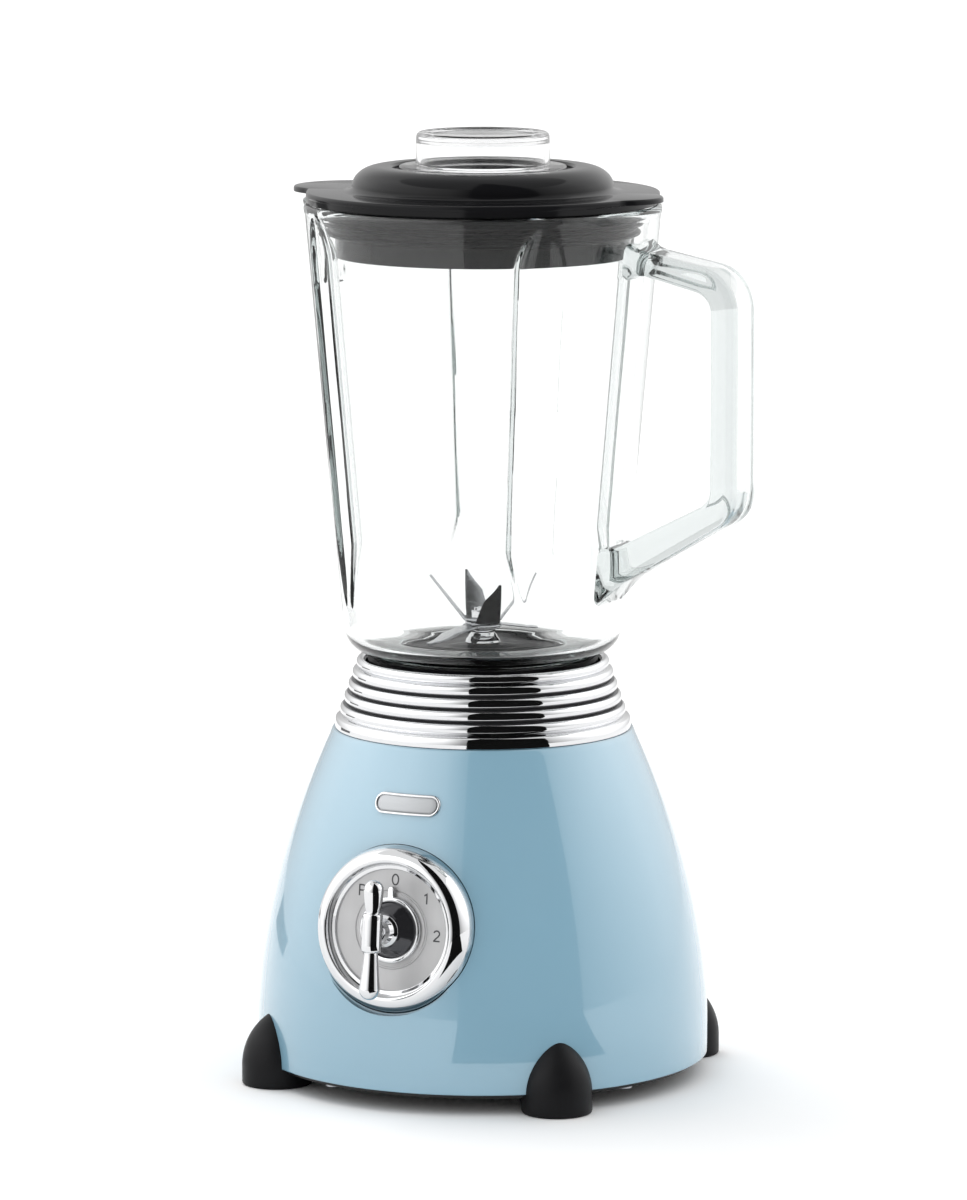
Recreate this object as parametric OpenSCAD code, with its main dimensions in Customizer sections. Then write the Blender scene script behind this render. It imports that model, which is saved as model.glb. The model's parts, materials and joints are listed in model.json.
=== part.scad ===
// Countertop blender: a domed motor base with a stepped chrome collar, a fluted
// glass jug with a cast handle, a black lid with a clear measuring cap, and a
// three-mark rotary dial with a T lever.
// Frame: +Z up, origin on the standing plane, under the middle of the base.
// The dial faces -Y, the handle points to +X and the spout to -X.

/* [Base] */
// Radius of the shell at its foot
base_r = 94; // [92:0.5:96]
// Radius of the shell where it meets the chrome collar
shell_top_r = 62.4; // [61.8:0.1:63]
// Height of the shell's lower edge above the standing plane
shell_bot = 8.5; // [8:0.1:9]
// Height of the shell's top deck
shell_top = 145.2; // [144.8:0.1:145.2]
// Wall thickness of the shell
shell_wall = 2.5; // [2:0.1:3]
// Radius at which the feet stand
foot_r = 90.5; // [90:0.1:92]
// Radius of one foot
foot_rad = 14.5; // [13.5:0.1:15]
// Height at which a foot starts to close to its point
foot_straight = 8; // [6:0.5:9]
// Arc radius of a foot's pointed top
foot_arc = 26; // [24:0.5:28]

/* [Collar] */
// Radius of the collar's bottom band
collar_r0 = 61.6; // [61:0.1:61.8]
// Height of one collar step
step_h = 5.05; // [5:0.01:5.1]
// Depth of each rounded bead
bead_d = 1.3; // [0.8:0.1:1.4]

/* [Dial] */
// Height of the dial's centre
dial_z = 74; // [72:0.5:76]
// Distance of the dial plate's face from the vertical axis
dial_y = 86.2; // [86:0.1:86.6]
// Tilt of the dial's axis above horizontal
dial_tilt = 6; // [5:0.5:7]
// Radius of the opening in the bezel
window_r = 26.8; // [26:0.1:27]
// Outer radius of the bezel
bezel_r = 34.6; // [34:0.1:34.8]
// Distance of the lever's axis in front of the plate
lever_w = 17.7; // [17:0.1:18]
// Length of the lever from the sleeve's centre to its pointing end
lever_up = 21.5; // [20:0.1:22]
// Length of the lever from the sleeve's centre to its other end
lever_down = 27.3; // [26:0.1:28]

/* [Jug] */
// Outer radius of the jug at its rim
jug_rim_r = 73.7; // [73:0.1:74]
// Outer radius of the jug just above its bottom corner
jug_low_r = 58.4; // [58:0.1:59]
// Height of the jug's rim
jug_top = 363.2; // [360:0.1:363.2]
// Thickness of the glass wall
glass_t = 3.6; // [3.2:0.1:4]
// Depth of the pressed flutes
flute_d = 5.6; // [4.5:0.1:6]
// Radius of the flute's channel
flute_rad = 11; // [10:0.1:12]
// Width of the handle strap
handle_w = 26; // [24:0.5:28]
// Distance of the handle's outer face from the vertical axis
handle_x = 118.5; // [116:0.5:122]

/* [Lid and cap] */
// Radius of the lid's flange
lid_r = 72.9; // [72:0.1:73.2]
// Reach of the lid's tab over the spout
lid_spout_x = 84.5; // [82:0.5:86]
// Height of the lid's raised ring
lid_top = 378.6; // [378:0.1:379]
// Radius of the measuring cap's body
cap_r = 27.6; // [27:0.1:28]
// Height of the measuring cap's top
cap_top = 392.6; // [390:0.1:396]

/* [Motor] */
// Radius of the motor shaft
shaft_r = 4; // [3.9:0.1:4]
// Radius of the armature core
arm_r = 20.7; // [20:0.1:20.8]
// Lower face of the laminated stator
stator_z0 = 64; // [63:0.5:65]
// Height of the laminated stator
stator_h = 32; // [30:0.5:32]

/* [Hidden] */
$fn = 64;

BLUE = [0.60, 0.78, 0.87];
CHROME = [0.80, 0.81, 0.83];
BLACK = [0.06, 0.06, 0.065];
GLASS = [0.85, 0.92, 0.92, 0.35];
STEEL = [0.62, 0.63, 0.65];

// Shell outline: straight near the foot, then a dome-like power curve
dome_z = 20;
dome_n = 1.87;
dome_k = (base_r - shell_top_r) / pow(shell_top - dome_z, dome_n);
function shell_r(z) = z <= dome_z ? base_r : base_r - dome_k * pow(z - dome_z, dome_n);
// Level of the recess's floor on the dial's axis
dial_ledge = -2.3;
shell_steps = 22;
function shell_z(i) = i == 0 ? shell_bot : dome_z + (shell_top - dome_z) * (i - 1) / (shell_steps - 1);

// Jug wall outline: a straight cone between two heights
jug_low_z = 191.7;
jug_slope = (jug_rim_r - 0.4 - jug_low_r) / (jug_top - 4 - jug_low_z);
function jug_ro(z) = jug_low_r + jug_slope * (z - jug_low_z);
jug_tilt = atan(jug_slope);
neck_r = 41;
neck_z0 = 158.6;
throat_r = 33.4;

function polar(r, a) = [r * sin(a), -r * cos(a), 0];
FOOT_A = [-45, 45, 135, -135];
POST_A = [69, 159, 249, 339];

// Placement on the dial's axis: local z is along the axis, away from the base
module on_dial() translate([0, -dial_y, dial_z]) rotate([90 - dial_tilt, 0, 0]) children();

// Rounded corner points for an outline with corner radii
function unit(v) = v / norm(v);
function fillet(a, b, c, r, n = 7) =
  let(u = unit(a - b), w = unit(c - b), h = acos(u * w) / 2, d = r / tan(h),
      m = b + unit(u + w) * r / sin(h), p = b + u * d, q = b + w * d,
      a0 = atan2(p[1] - m[1], p[0] - m[0]), a1r = atan2(q[1] - m[1], q[0] - m[0]),
      da = a1r - a0, s = da > 180 ? da - 360 : da < -180 ? da + 360 : da)
  [for (i = [0 : n]) m + r * [cos(a0 + s * i / n), sin(a0 + s * i / n)]];

// ---------------------------------------------------------------- base
module dome(z0, z1, off) {
  rotate_extrude() polygon(concat([[0, z0]],
    [for (i = [0 : 30]) let(z = z0 + (z1 - z0) * i / 30) [shell_r(z) + off, z]], [[0, z1]]));
}
module base_shell() color(BLUE) difference() {
  union() {
    rotate_extrude() polygon(concat(
      [for (i = [0 : shell_steps]) [shell_r(shell_z(i)), shell_z(i)]],
      [[40, shell_top], [40, shell_top - 2.7]],
      [for (i = [shell_steps : -1 : 0]) let(z = min(shell_z(i), shell_top - 2.7)) [shell_r(z) - shell_wall - 0.001 * i, i == shell_steps ? shell_top - 2.7 : z]]));
    // screw posts for the bottom plate, joined to the wall by ribs
    for (a = POST_A) {
      translate(polar(84, a)) translate([0, 0, 11]) cylinder(r = 4.5, h = 21);
      rotate([0, 0, a]) translate([-1.5, -92.6, 11]) cube([3, 6, 21]);
    }
    // posts that carry the motor
    for (a = FOOT_A) translate(polar(52, a)) translate([0, 0, 120.2]) cylinder(r = 5, h = 23);
    // thicker seat behind the wall for the dial
    intersection() { dome(12, 140, -0.4); on_dial() translate([0, 0, -11.6]) cylinder(r = bezel_r + 2.8, h = 20); }
  }
  for (a = POST_A) translate(polar(84, a)) translate([0, 0, 5]) cylinder(r = 2, h = 22);
  for (a = FOOT_A) translate(polar(52, a)) translate([0, 0, 118]) cylinder(r = 2.5, h = 18);
  // opening for the dial: it follows the bezel's slope, with a shallow round recess in front
  on_dial() rotate_extrude() polygon([[0, -18], [bezel_r + 0.2, -18], [bezel_r + 0.2, -6.4], [34.1, -4.9], [33.3, -3.2],
    [32.8, dial_ledge], [bezel_r + 0.3, dial_ledge], [bezel_r + 0.3, 8], [0, 8]]);
  translate([0, 84, 24]) rotate([-90, 0, 0]) cylinder(r = 6.1, h = 14);
}
module bottom_plate() color(BLACK) difference() {
  union() {
    translate([0, 0, 6.8]) cylinder(r = 91.1, h = 2.8);
    for (a = FOOT_A) translate(polar(82, a)) translate([0, 0, 9]) cylinder(r = 5, h = 13);
    rotate_extrude() polygon([[60, 9], [63, 9], [63, 14], [60, 14]]);
  }
  for (a = FOOT_A) translate(polar(82, a)) translate([0, 0, 5]) cylinder(r = 2.05, h = 14);
  for (a = POST_A) translate(polar(84, a)) translate([0, 0, 5]) cylinder(r = 2, h = 8);
  for (i = [0 : 15]) rotate([0, 0, i * 22.5]) translate([24, -1.5, 5]) cube([30, 3, 7]);
}
module bottom_screws() color(STEEL) for (a = POST_A) translate(polar(84, a)) {
  difference() {
    union() {
      translate([0, 0, 5.1]) cylinder(r = 3.6, h = 1.65);
      translate([0, 0, 6]) cylinder(r = 1.95, h = 19);
    }
    for (b = [0, 90]) rotate([0, 0, b]) translate([-2.2, -0.4, 5]) cube([4.4, 0.8, 1]);
  }
}
function foot_z(i) = foot_straight + sqrt(pow(foot_arc, 2) - pow(foot_arc - foot_rad, 2)) * sin(90 * i / 12);
module foot(a) difference() {
  translate(polar(foot_r, a)) rotate_extrude() polygon(concat(
    [[0, 0], [foot_rad - 0.8, 0], [foot_rad - 0.2, 0.3], [foot_rad, 0.9]],
    [for (i = [0 : 11]) [foot_rad - foot_arc + sqrt(pow(foot_arc, 2) - pow(foot_z(i) - foot_straight, 2)), foot_z(i)]],
    [[0, foot_z(12)]]));
  // clearance for the bottom plate and for the shell
  rotate_extrude() polygon(concat([[0, 6.7], [91.3, 6.7], [91.3, shell_bot - 0.1]],
    [for (i = [0 : 8]) let(z = i == 0 ? shell_bot - 0.1 : 8 + i * 4) [shell_r(z) + 0.08, z]], [[0, 40]]));
  translate(polar(82, a)) translate([0, 0, -1]) cylinder(r = 2.3, h = 10);
  translate(polar(82, a)) translate([0, 0, -1]) cylinder(r = 4.2, h = 3.6);
}
module foot_front_left() color(BLACK) foot(-45);
module foot_front_right() color(BLACK) foot(45);
module foot_rear_left() color(BLACK) foot(-135);
module foot_rear_right() color(BLACK) foot(135);
module foot_screws() color(STEEL) for (a = FOOT_A) translate(polar(82, a)) difference() {
  union() {
    translate([0, 0, 1]) cylinder(r = 3.9, h = 1.55);
    translate([0, 0, 2]) cylinder(r = 2, h = 16);
  }
  for (b = [0, 90]) rotate([0, 0, b]) translate([-2.2, -0.4, 0.8]) cube([4.4, 0.8, 1]);
}

// Stepped chrome collar: a bottom band, four beads and a rolled lip
seat_or = 49.9;
collar_z = shell_top + 0.1;
function bead_c(k) = [collar_r0 - 0.6 - 1.72 * k, collar_z + step_h * (k + 0.5)];
module collar_ring() color(CHROME) rotate_extrude() polygon(concat(
  [[collar_r0 - 2.2, collar_z], [collar_r0, collar_z], [collar_r0 - 0.5, collar_z + step_h - 0.5]],
  [for (k = [1 : 4]) for (i = [0 : 8]) let(c = bead_c(k), a = -78 + 156 * i / 8)
    [c[0] - bead_d + bead_d * 1.15 * cos(a), c[1] + (step_h / 2 - 0.15) * sin(a) / sin(78)]],
  [for (i = [0 : 8]) let(a = -60 + 178 * i / 8) [50.9 + 1.7 * cos(a), collar_z + 5 * step_h + 2.0 + 2.0 * sin(a)]],
  [[50.2, collar_z + 5 * step_h - 1.5], [50.2, collar_z + 5 * step_h - 8], [collar_r0 - 3.4, collar_z + 6]]));

// Black seat that holds the foot of the jug
module jug_seat() color(BLACK) difference() {
  union() {
    rotate_extrude() polygon([[6, collar_z], [seat_or, collar_z], [seat_or, 172.6], [48.7, 172.6],
      [48.7, 148.1], [6, 148.1]]);
    for (a = [0, 90, 180, 270]) rotate([0, 0, a]) translate([-2.5, -49.2, 148]) cube([5, 2.2, 20]);
    // legs that hold the interlock switch
    for (s = [-1, 1]) translate([31, s > 0 ? 10.4 : -13.4, 127]) cube([6.4, 3, 19]);
  }
  translate([34, 0, 140]) cylinder(r = 2.06, h = 12);
}
module badge() color(CHROME) intersection() {
  rotate_extrude() polygon(concat(
    [for (i = [0 : 6]) let(z = 114 + 3 * i) [shell_r(z) + 1.1, z]],
    [for (i = [6 : -1 : 0]) let(z = 114 + 3 * i) [shell_r(z) + 0.03, z]]));
  translate([0, -60, 123.5]) rotate([90, 0, 0]) linear_extrude(30) union() {
    square([24, 7.2], center = true);
    for (s = [-1, 1]) translate([12 * s, 0]) circle(r = 3.6);
  }
}

// ---------------------------------------------------------------- dial
module dial_bezel() color(CHROME) on_dial() difference() {
  union() {
    rotate_extrude() polygon([[bezel_r - 2.2, -10], [bezel_r, -10], [bezel_r, -6.6], [33.9, -5.0],
      [33.1, -3.3], [32.2, -1.6], [31.3, 0.2], [30.4, 1.9], [29.7, 3.1], [29.1, 3.75], [28.4, 4.0],
      [27.6, 3.9], [27.0, 3.5], [window_r, 3.0], [26.6, 1.2], [24.8, 0.95], [24.6, 0.04], [window_r, 0.04], [window_r, -1.35], [24, -1.35], [24, -3.2],
      [bezel_r - 2.2, -3.2]]);
    for (a = [45, 135, 225, 315]) rotate([0, 0, a]) translate([28.6, 0, -12.6]) cylinder(r = 2.9, h = 10);
  }
  for (a = [45, 135, 225, 315]) rotate([0, 0, a]) translate([28.6, 0, -13]) cylinder(r = 1.3, h = 8);
}
module dial_plate() color([0.78, 0.78, 0.79]) on_dial() difference() {
  translate([0, 0, -1.3]) cylinder(r = window_r - 0.15, h = 1.3);
  translate([0, 0, -3]) cylinder(r = 3.3, h = 6);
}
module switch_bracket() color(BLACK) on_dial() difference() {
  translate([-27, -27, -15.7]) cube([54, 54, 3]);
  translate([0, 0, -18]) cylinder(r = 5.3, h = 8);
  for (a = [45, 135, 225, 315]) rotate([0, 0, a]) translate([28.6, 0, -18]) cylinder(r = 1.7, h = 8);
}
module dial_screws() color(STEEL) on_dial() for (a = [45, 135, 225, 315]) rotate([0, 0, a]) translate([28.6, 0, 0]) {
  translate([0, 0, -17.4]) cylinder(r = 2.8, h = 1.65);
  translate([0, 0, -16]) cylinder(r = 1.25, h = 10);
}
module rotary_switch() color([0.85, 0.85, 0.82]) on_dial() difference() {
  union() {
    translate([-15, -15, -36]) cube([30, 30, 18.2]);
    translate([0, 0, -18]) cylinder(r = 7.5, h = 2.2);
    translate([0, 0, -16]) cylinder(r = 5.2, h = 9);
    for (x = [-9, 0, 9]) translate([x - 2.4, -17, -43]) cube([4.8, 0.8, 12]);
    for (x = [-9, 0, 9]) translate([x - 2.4, -17, -32]) cube([4.8, 3, 3]);
  }
  translate([0, 0, -33]) cylinder(r = 11, h = 13);
  translate([0, 0, -21]) cylinder(r = 3.06, h = 16);
}
module knob_spindle() color(STEEL) on_dial() difference() {
  translate([0, 0, -20]) cylinder(r = 3, h = 26);
  translate([2, -4, 1]) cube([4, 8, 6]);
}
module switch_cam() color([0.80, 0.25, 0.18]) on_dial() difference() {
  union() {
    translate([0, 0, -32]) cylinder(r = 8, h = 11.5);
    translate([-2.5, 0, -32]) cube([5, 10.2, 6]);
  }
  translate([0, 0, -20.4 - 12]) cylinder(r = 1.5, h = 6);
}
// Disc: a dark cone inside a bright rim that carries the pointer nub
module knob_disc() color([0.10, 0.10, 0.11]) on_dial() difference() {
  rotate_extrude() polygon([[3.05, 0.6], [11.4, 0.6], [11.4, 1.5], [6.2, 6.4], [3.05, 6.4]]);
}
module knob_rim() color(CHROME) on_dial() {
  rotate_extrude() polygon([[11.42, 0.6], [13.6, 0.6], [13.8, 1.1], [13.4, 1.9], [12.6, 2.3], [11.8, 2.1], [11.42, 1.6]]);
  translate([0, 13.2, 0.6]) linear_extrude(1.5) union() {
    translate([-1.4, 0]) square([2.8, 3.2]);
    translate([0, 3.2]) circle(r = 1.4);
  }
}
module knob_stem() color(CHROME) on_dial() difference() {
  union() {
    rotate_extrude() polygon([[0, 6.45], [6.6, 6.45], [6.7, 7.2], [5.6, 8.4], [4.6, 10.2], [3.9, 12.4], [3.7, lever_w - 4.35], [0, lever_w - 4.35]]);
  }
  translate([0, 0, 6]) cylinder(r = 1.2, h = 5);
}
// Lever: a plain sleeve with two arms that flare to rounded ends
module lever_arm(l) rotate_extrude() polygon(concat(
  [[0, 7], [2.9, 7], [2.9, 8.2]],
  [for (i = [0 : 8]) let(a = -6 + 96 * i / 8) [4.1 * cos(a), l - 4.1 + 4.1 * sin(a)]]));
module knob_lever() color(CHROME) on_dial() translate([0, 0, lever_w]) {
  rotate([-90, 0, 0]) {
    translate([0, 0, -7.6]) difference() {
      cylinder(r = 4.2, h = 15.2);
    }
    lever_arm(lever_up);
    mirror([0, 0, 1]) lever_arm(lever_down);
  }
  translate([0, 0, -4.28]) cylinder(r = 3.4, h = 4);
}
module knob_grub_screw() color(STEEL) on_dial() translate([0, 0, 6.7]) cylinder(r = 1.15, h = 3.9);

// ---------------------------------------------------------------- inlet and interlock
module cord_inlet() color(BLACK) translate([0, 0, 24]) rotate([-90, 0, 0]) difference() {
  union() {
    translate([0, 0, 94.1]) cylinder(r = 8.6, h = 1.9);
    translate([0, 0, 88.5]) cylinder(r = 6.0, h = 6.5);
    translate([0, 0, 87.2]) cylinder(r = 8.0, h = 2.0);
  }
  translate([0, 0, 80]) cylinder(r = 3.6, h = 20);
}
module interlock_pin() color([0.85, 0.85, 0.82]) translate([34, 0, 0]) {
  translate([0, 0, 138.4]) cylinder(r = 2, h = 9.85);
  translate([0, 0, 137.4]) cylinder(r = 3.4, h = 1.6);
}
module interlock_switch() color([0.12, 0.12, 0.13]) difference() {
  union() {
    translate([30.8, -10.3, 126.4]) cube([6.4, 20.6, 9.6]);
    translate([34, 0, 135.5]) cylinder(r = 1.4, h = 1.7);
    for (y = [-7, 0, 7]) translate([33.6, y - 1.2, 120.5]) cube([0.8, 2.4, 6.4]);
  }
  for (y = [-4.8, 4.8]) translate([28, y, 129]) rotate([0, 90, 0]) cylinder(r = 1.3, h = 12);
}

// ---------------------------------------------------------------- motor
bolt_r = 41;
module motor_stator() color([0.45, 0.46, 0.48]) translate([0, 0, stator_z0]) difference() {
  linear_extrude(stator_h) difference() {
    intersection() { square([72, 72], center = true); circle(r = 46); }
    circle(r = arm_r + 0.8);
    for (sx = [-1, 1], sy = [-1, 1]) translate([sx * 21.7, sy * 18.2]) square([9.6, 10.2], center = true);
    for (sx = [-1, 1]) translate([sx * 22, 0]) square([5, 11], center = true);
  }
  for (a = FOOT_A) translate(polar(bolt_r, a)) translate([0, 0, -1]) cylinder(r = 2.2, h = stator_h + 2);
}
module coil() rotate([90, 0, 0]) translate([0, 0, -4.4]) linear_extrude(8.8) difference() {
  union() {
    square([51, 34], center = true);
    square([35, 50], center = true);
    for (x = [-17.5, 17.5], y = [-17, 17]) translate([x, y]) circle(r = 8);
  }
  square([34.6, 34.4], center = true);
}
module field_coils() color([0.72, 0.38, 0.18])
  for (s = [-1, 1]) translate([0, s * 18.2, stator_z0 + stator_h / 2]) coil();
module motor_bracket_upper() color([0.70, 0.71, 0.73]) difference() {
  union() {
    for (a = [45, 135]) rotate([0, 0, a]) translate([-58, -8, 112.2]) cube([116, 16, 3.8]);
    translate([0, 0, 108.6]) cylinder(r = 15, h = 8.6);
    for (a = FOOT_A) translate(polar(bolt_r, a)) translate([0, 0, stator_z0 + stator_h + 0.1]) cylinder(r = 4, h = 17);
  }
  translate([0, 0, 109.6]) cylinder(r = 11.03, h = 12);
  translate([0, 0, 100]) cylinder(r = 6, h = 20);
  for (a = FOOT_A) translate(polar(bolt_r, a)) translate([0, 0, 90]) cylinder(r = 2.1, h = 40);
  for (a = FOOT_A) translate(polar(52, a)) translate([0, 0, 90]) cylinder(r = 2.7, h = 40);
}
module motor_bracket_lower() color([0.70, 0.71, 0.73]) difference() {
  union() {
    for (a = [45, 135]) rotate([0, 0, a]) translate([-47, -7, 39]) cube([94, 14, 3.6]);
    translate([0, 0, 36.6]) cylinder(r = 12, h = 6.2);
    for (a = FOOT_A) translate(polar(bolt_r, a)) translate([0, 0, 42]) cylinder(r = 4, h = stator_z0 - 42.1);
    // arms that carry the brush holders
    for (s = [-1, 1]) translate([s > 0 ? 8 : -30, -6.5, 39]) cube([22, 13, 3.6]);
    for (s = [-1, 1]) translate([s > 0 ? 20 : -28, -6.5, 42]) cube([8, 13, 3.3]);
  }
  translate([0, 0, 30]) cylinder(r = 8.03, h = 20);
  for (a = FOOT_A) translate(polar(bolt_r, a)) translate([0, 0, 30]) cylinder(r = 2.1, h = 40);
}
module motor_bolts() color(STEEL) for (a = FOOT_A) translate(polar(bolt_r, a)) {
  translate([0, 0, 35.6]) cylinder(r = 3.6, h = 3.3);
  translate([0, 0, 38]) cylinder(r = 2, h = 80);
  translate([0, 0, 116.1]) cylinder(r = 3.6, h = 3, $fn = 6);
}
module rubber_mounts() color([0.10, 0.10, 0.10]) for (a = FOOT_A) translate(polar(52, a)) difference() {
  translate([0, 0, 116.1]) cylinder(r = 6.4, h = 4.0);
  translate([0, 0, 110]) cylinder(r = 2.6, h = 14);
}
module mount_bolts() color(STEEL) for (a = FOOT_A) translate(polar(52, a)) {
  translate([0, 0, 108.8]) cylinder(r = 4.4, h = 3.3);
  translate([0, 0, 111]) cylinder(r = 2.4, h = 23);
}
module bearing_upper() color(STEEL) rotate_extrude() polygon([[shaft_r + 0.05, 109.7], [11, 109.7], [11, 116.7], [shaft_r + 0.05, 116.7]]);
module bearing_lower() color([0.71, 0.55, 0.30]) rotate_extrude() polygon([[shaft_r + 0.05, 36.4], [8, 36.4], [8, 42.8], [shaft_r + 0.05, 42.8]]);
module brush_holders() color([0.80, 0.65, 0.32]) for (s = [0, 180]) rotate([0, 0, s]) difference() {
  translate([12.6, -4.6, 45.4]) cube([19, 9.2, 10.2]);
  translate([10, -3.1, 47.4]) cube([20, 6.2, 6.2]);
}
module carbon_brushes() color([0.15, 0.15, 0.16]) for (s = [0, 180]) rotate([0, 0, s])
  difference() {
    translate([10.5, -3, 47.5]) cube([9.5, 6, 6]);
    translate([0, 0, 40]) cylinder(r = 11.12, h = 20);
  }
module brush_springs() color(STEEL) for (s = [0, 180]) rotate([0, 0, s]) translate([20.1, 0, 50.5]) rotate([0, 90, 0])
  for (i = [0 : 5]) translate([0, 0, 0.35 + i * 1.75]) rotate_extrude() translate([2.1, 0]) circle(r = 0.33, $fn = 16);
module motor_shaft() color(STEEL) translate([0, 0, 20]) cylinder(r = shaft_r, h = 133);
module armature_core() color([0.40, 0.41, 0.43]) difference() {
  translate([0, 0, stator_z0]) cylinder(r = arm_r, h = stator_h);
  cylinder(r = shaft_r + 0.02, h = 200);
  for (i = [0 : 11]) rotate([0, 0, i * 30]) translate([18.6, 0, stator_z0 - 1]) cylinder(r = 1.5, h = stator_h + 2, $fn = 24);
}
module armature_windings() color([0.72, 0.38, 0.18]) for (z = [57.2, stator_z0 + stator_h + 0.1]) translate([0, 0, z])
  rotate_extrude() polygon([[5, 0.2], [12, 0], [12.9, 1.2], [12.9, 4.6], [11, 6.4], [6, 6.6], [5, 5.6]]);
module commutator() color([0.74, 0.42, 0.22]) difference() {
  union() {
    translate([0, 0, 46]) cylinder(r = 11, h = 9);
    translate([0, 0, 54.9]) cylinder(r = 12.2, h = 1.8);
  }
  cylinder(r = shaft_r + 0.02, h = 100);
  for (i = [0 : 11]) rotate([0, 0, i * 30]) translate([10, -0.3, 45]) cube([3, 0.6, 13]);
}
module cooling_fan() color([0.20, 0.20, 0.22]) difference() {
  union() {
    translate([0, 0, 22]) cylinder(r = 8, h = 11);
    translate([0, 0, 22]) cylinder(r = 33, h = 1.8);
    for (i = [0 : 9]) rotate([0, 0, i * 36]) translate([6, -0.9, 23]) cube([26, 1.8, 9]);
  }
  cylinder(r = shaft_r + 0.02, h = 100);
}
module star(off) { circle(r = 8.4 + off); for (i = [0 : 5]) rotate(i * 60) translate([9.8, 0]) circle(r = 2.8 + off); }
module drive_coupling() color([0.16, 0.16, 0.17]) difference() {
  union() {
    translate([0, 0, 149]) linear_extrude(7) star(0);
    translate([0, 0, 148.5]) cylinder(r = 7.5, h = 1);
  }
  translate([0, 0, 140]) cylinder(r = shaft_r + 0.02, h = 14.2);
}

// ---------------------------------------------------------------- jug
module flute_bar(rad, l, tip) rotate_extrude() polygon([[0, -l / 2], [rad, -l / 2 + tip], [rad, l / 2 - tip], [0, l / 2]]);
flute_z0 = 196;
flute_z1 = 356;
// Length of the cone at each end of a flute's bar, and of the bar between the cones
flute_tip = 35;
flute_run = flute_z1 - flute_z0 - 2 * flute_tip * flute_d / flute_rad;
module at_flutes(off) for (a = FOOT_A) rotate([0, 0, a]) translate([0, -(jug_ro((flute_z0 + flute_z1) / 2) + off), (flute_z0 + flute_z1) / 2]) rotate([jug_tilt, 0, 0]) children();
module jug_outer(off) rotate_extrude() polygon([[0, neck_z0], [neck_r, neck_z0], [neck_r, 175.7], [47.5, 176.6], [51.3 + off, 177.6],
  [54.2 + off, 179.5], [56.3 + off, 182.2], [57.6 + off, 185.4], [58.1 + off, 188.4], [jug_low_r + off, jug_low_z],
  [jug_ro(jug_top - 4) + off, jug_top - 4], [jug_rim_r + off, jug_top - 2.4], [jug_rim_r + off, jug_top - 0.9], [jug_rim_r - 0.9, jug_top], [0, jug_top]]);
module jug_inner(off) rotate_extrude() polygon([[0, 150], [throat_r, 150], [throat_r, 181], [40, 181.6], [46 - off, 183],
  [50.5 - off, 185.8], [53.3 - off, 189.4], [54.6 - off, 193.5], [jug_ro(197) - glass_t - off, 197],
  [jug_ro(jug_top - 3) - glass_t - off, jug_top - 3], [jug_rim_r - glass_t - 0.2 - off, jug_top - 1], [jug_rim_r - glass_t + 0.9, jug_top + 0.1],
  [jug_rim_r - glass_t + 0.9, 380], [0, 380]]);
module spout_solid(off) intersection() {
  translate([-62, 0, 0]) rotate_extrude() polygon([[0, 328], [8, 328], [17.6 + off, 358], [18.6 + off, jug_top - 0.9], [18 + off, jug_top], [0, jug_top]]);
  translate([-130, -40, 300]) cube([90, 80, 100]);
}
module glass_jug() color(GLASS) difference() {
  union() {
    difference() {
      union() { jug_outer(0); spout_solid(0); }
      jug_inner(0);
      translate([-62, 0, 0]) rotate_extrude() polygon([[0, 333], [5, 333], [14.2, 358], [15.2, jug_top - 0.6], [15.6, jug_top + 1], [0, jug_top + 1]]);
    }
    intersection() {
      jug_inner(0);
      translate([0, 0, 190]) cylinder(r = 80, h = 171);
      at_flutes(flute_rad - flute_d) flute_bar(flute_rad + glass_t, flute_run + 2 + 2 * flute_tip * (flute_rad + glass_t) / flute_rad, flute_tip * (flute_rad + glass_t) / flute_rad);
    }
  }
  at_flutes(flute_rad - flute_d) flute_bar(flute_rad, flute_run + 2 * flute_tip, flute_tip);
}
hx = handle_x;
module jug_handle() color(GLASS) difference() {
  translate([0, handle_w / 2, 0]) rotate([90, 0, 0]) linear_extrude(handle_w) polygon(concat(
    [[56, 350.9]], fillet([56, 350.9], [hx, 339.3], [hx, 240], 19), fillet([hx, 339.3], [hx, 240], [56, 202.1], 16), [[56, 202.1]],
    [[56, 220.2]], fillet([56, 220.2], [hx - 10.8, 246.3], [hx - 10.8, 330.1], 9), fillet([hx - 10.8, 246.3], [hx - 10.8, 330.1], [56, 342.4], 9), [[56, 342.4]]));
  jug_outer(0.05);
}
module jug_base_collar() color(BLACK) difference() {
  rotate_extrude() polygon([[30, 148.4], [47.2, 148.4], [47.9, 149.2], [47.9, 174.2], [47.2, 175.2], [neck_r + 0.3, 175.2],
    [neck_r + 0.3, 153], [30, 153]]);
  for (a = [0, 90, 180, 270]) rotate([0, 0, a]) translate([-3, -50, 140]) cube([6, 3.6, 40]);
}
module jug_gasket() color([0.30, 0.30, 0.31]) rotate_extrude() polygon([[34, 156.65], [40.8, 156.65], [40.8, 158.5], [34, 158.5]]);
module blade_housing() color(BLACK) difference() {
  rotate_extrude() polygon([[0, 153.1], [9, 153.1], [9, 160], [9, 176], [29.5, 176], [29.5, 153.1], [40.8, 153.1], [40.8, 156.6],
    [33, 156.6], [33, 179.6], [32.4, 180.6], [14, 180.0], [10.5, 181.2], [0, 181.2]]);
  translate([0, 0, 150]) cylinder(r = 5.02, h = 40);
  translate([0, 0, 150]) cylinder(r = 19, h = 13.2);
}
module blade_bush() color([0.71, 0.55, 0.30]) rotate_extrude() polygon([[3.05, 163.4], [5, 163.4], [5, 181.4], [3.05, 181.4]]);
module blade_shaft() color(STEEL) translate([0, 0, 158]) cylinder(r = 3, h = 36.5);
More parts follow.
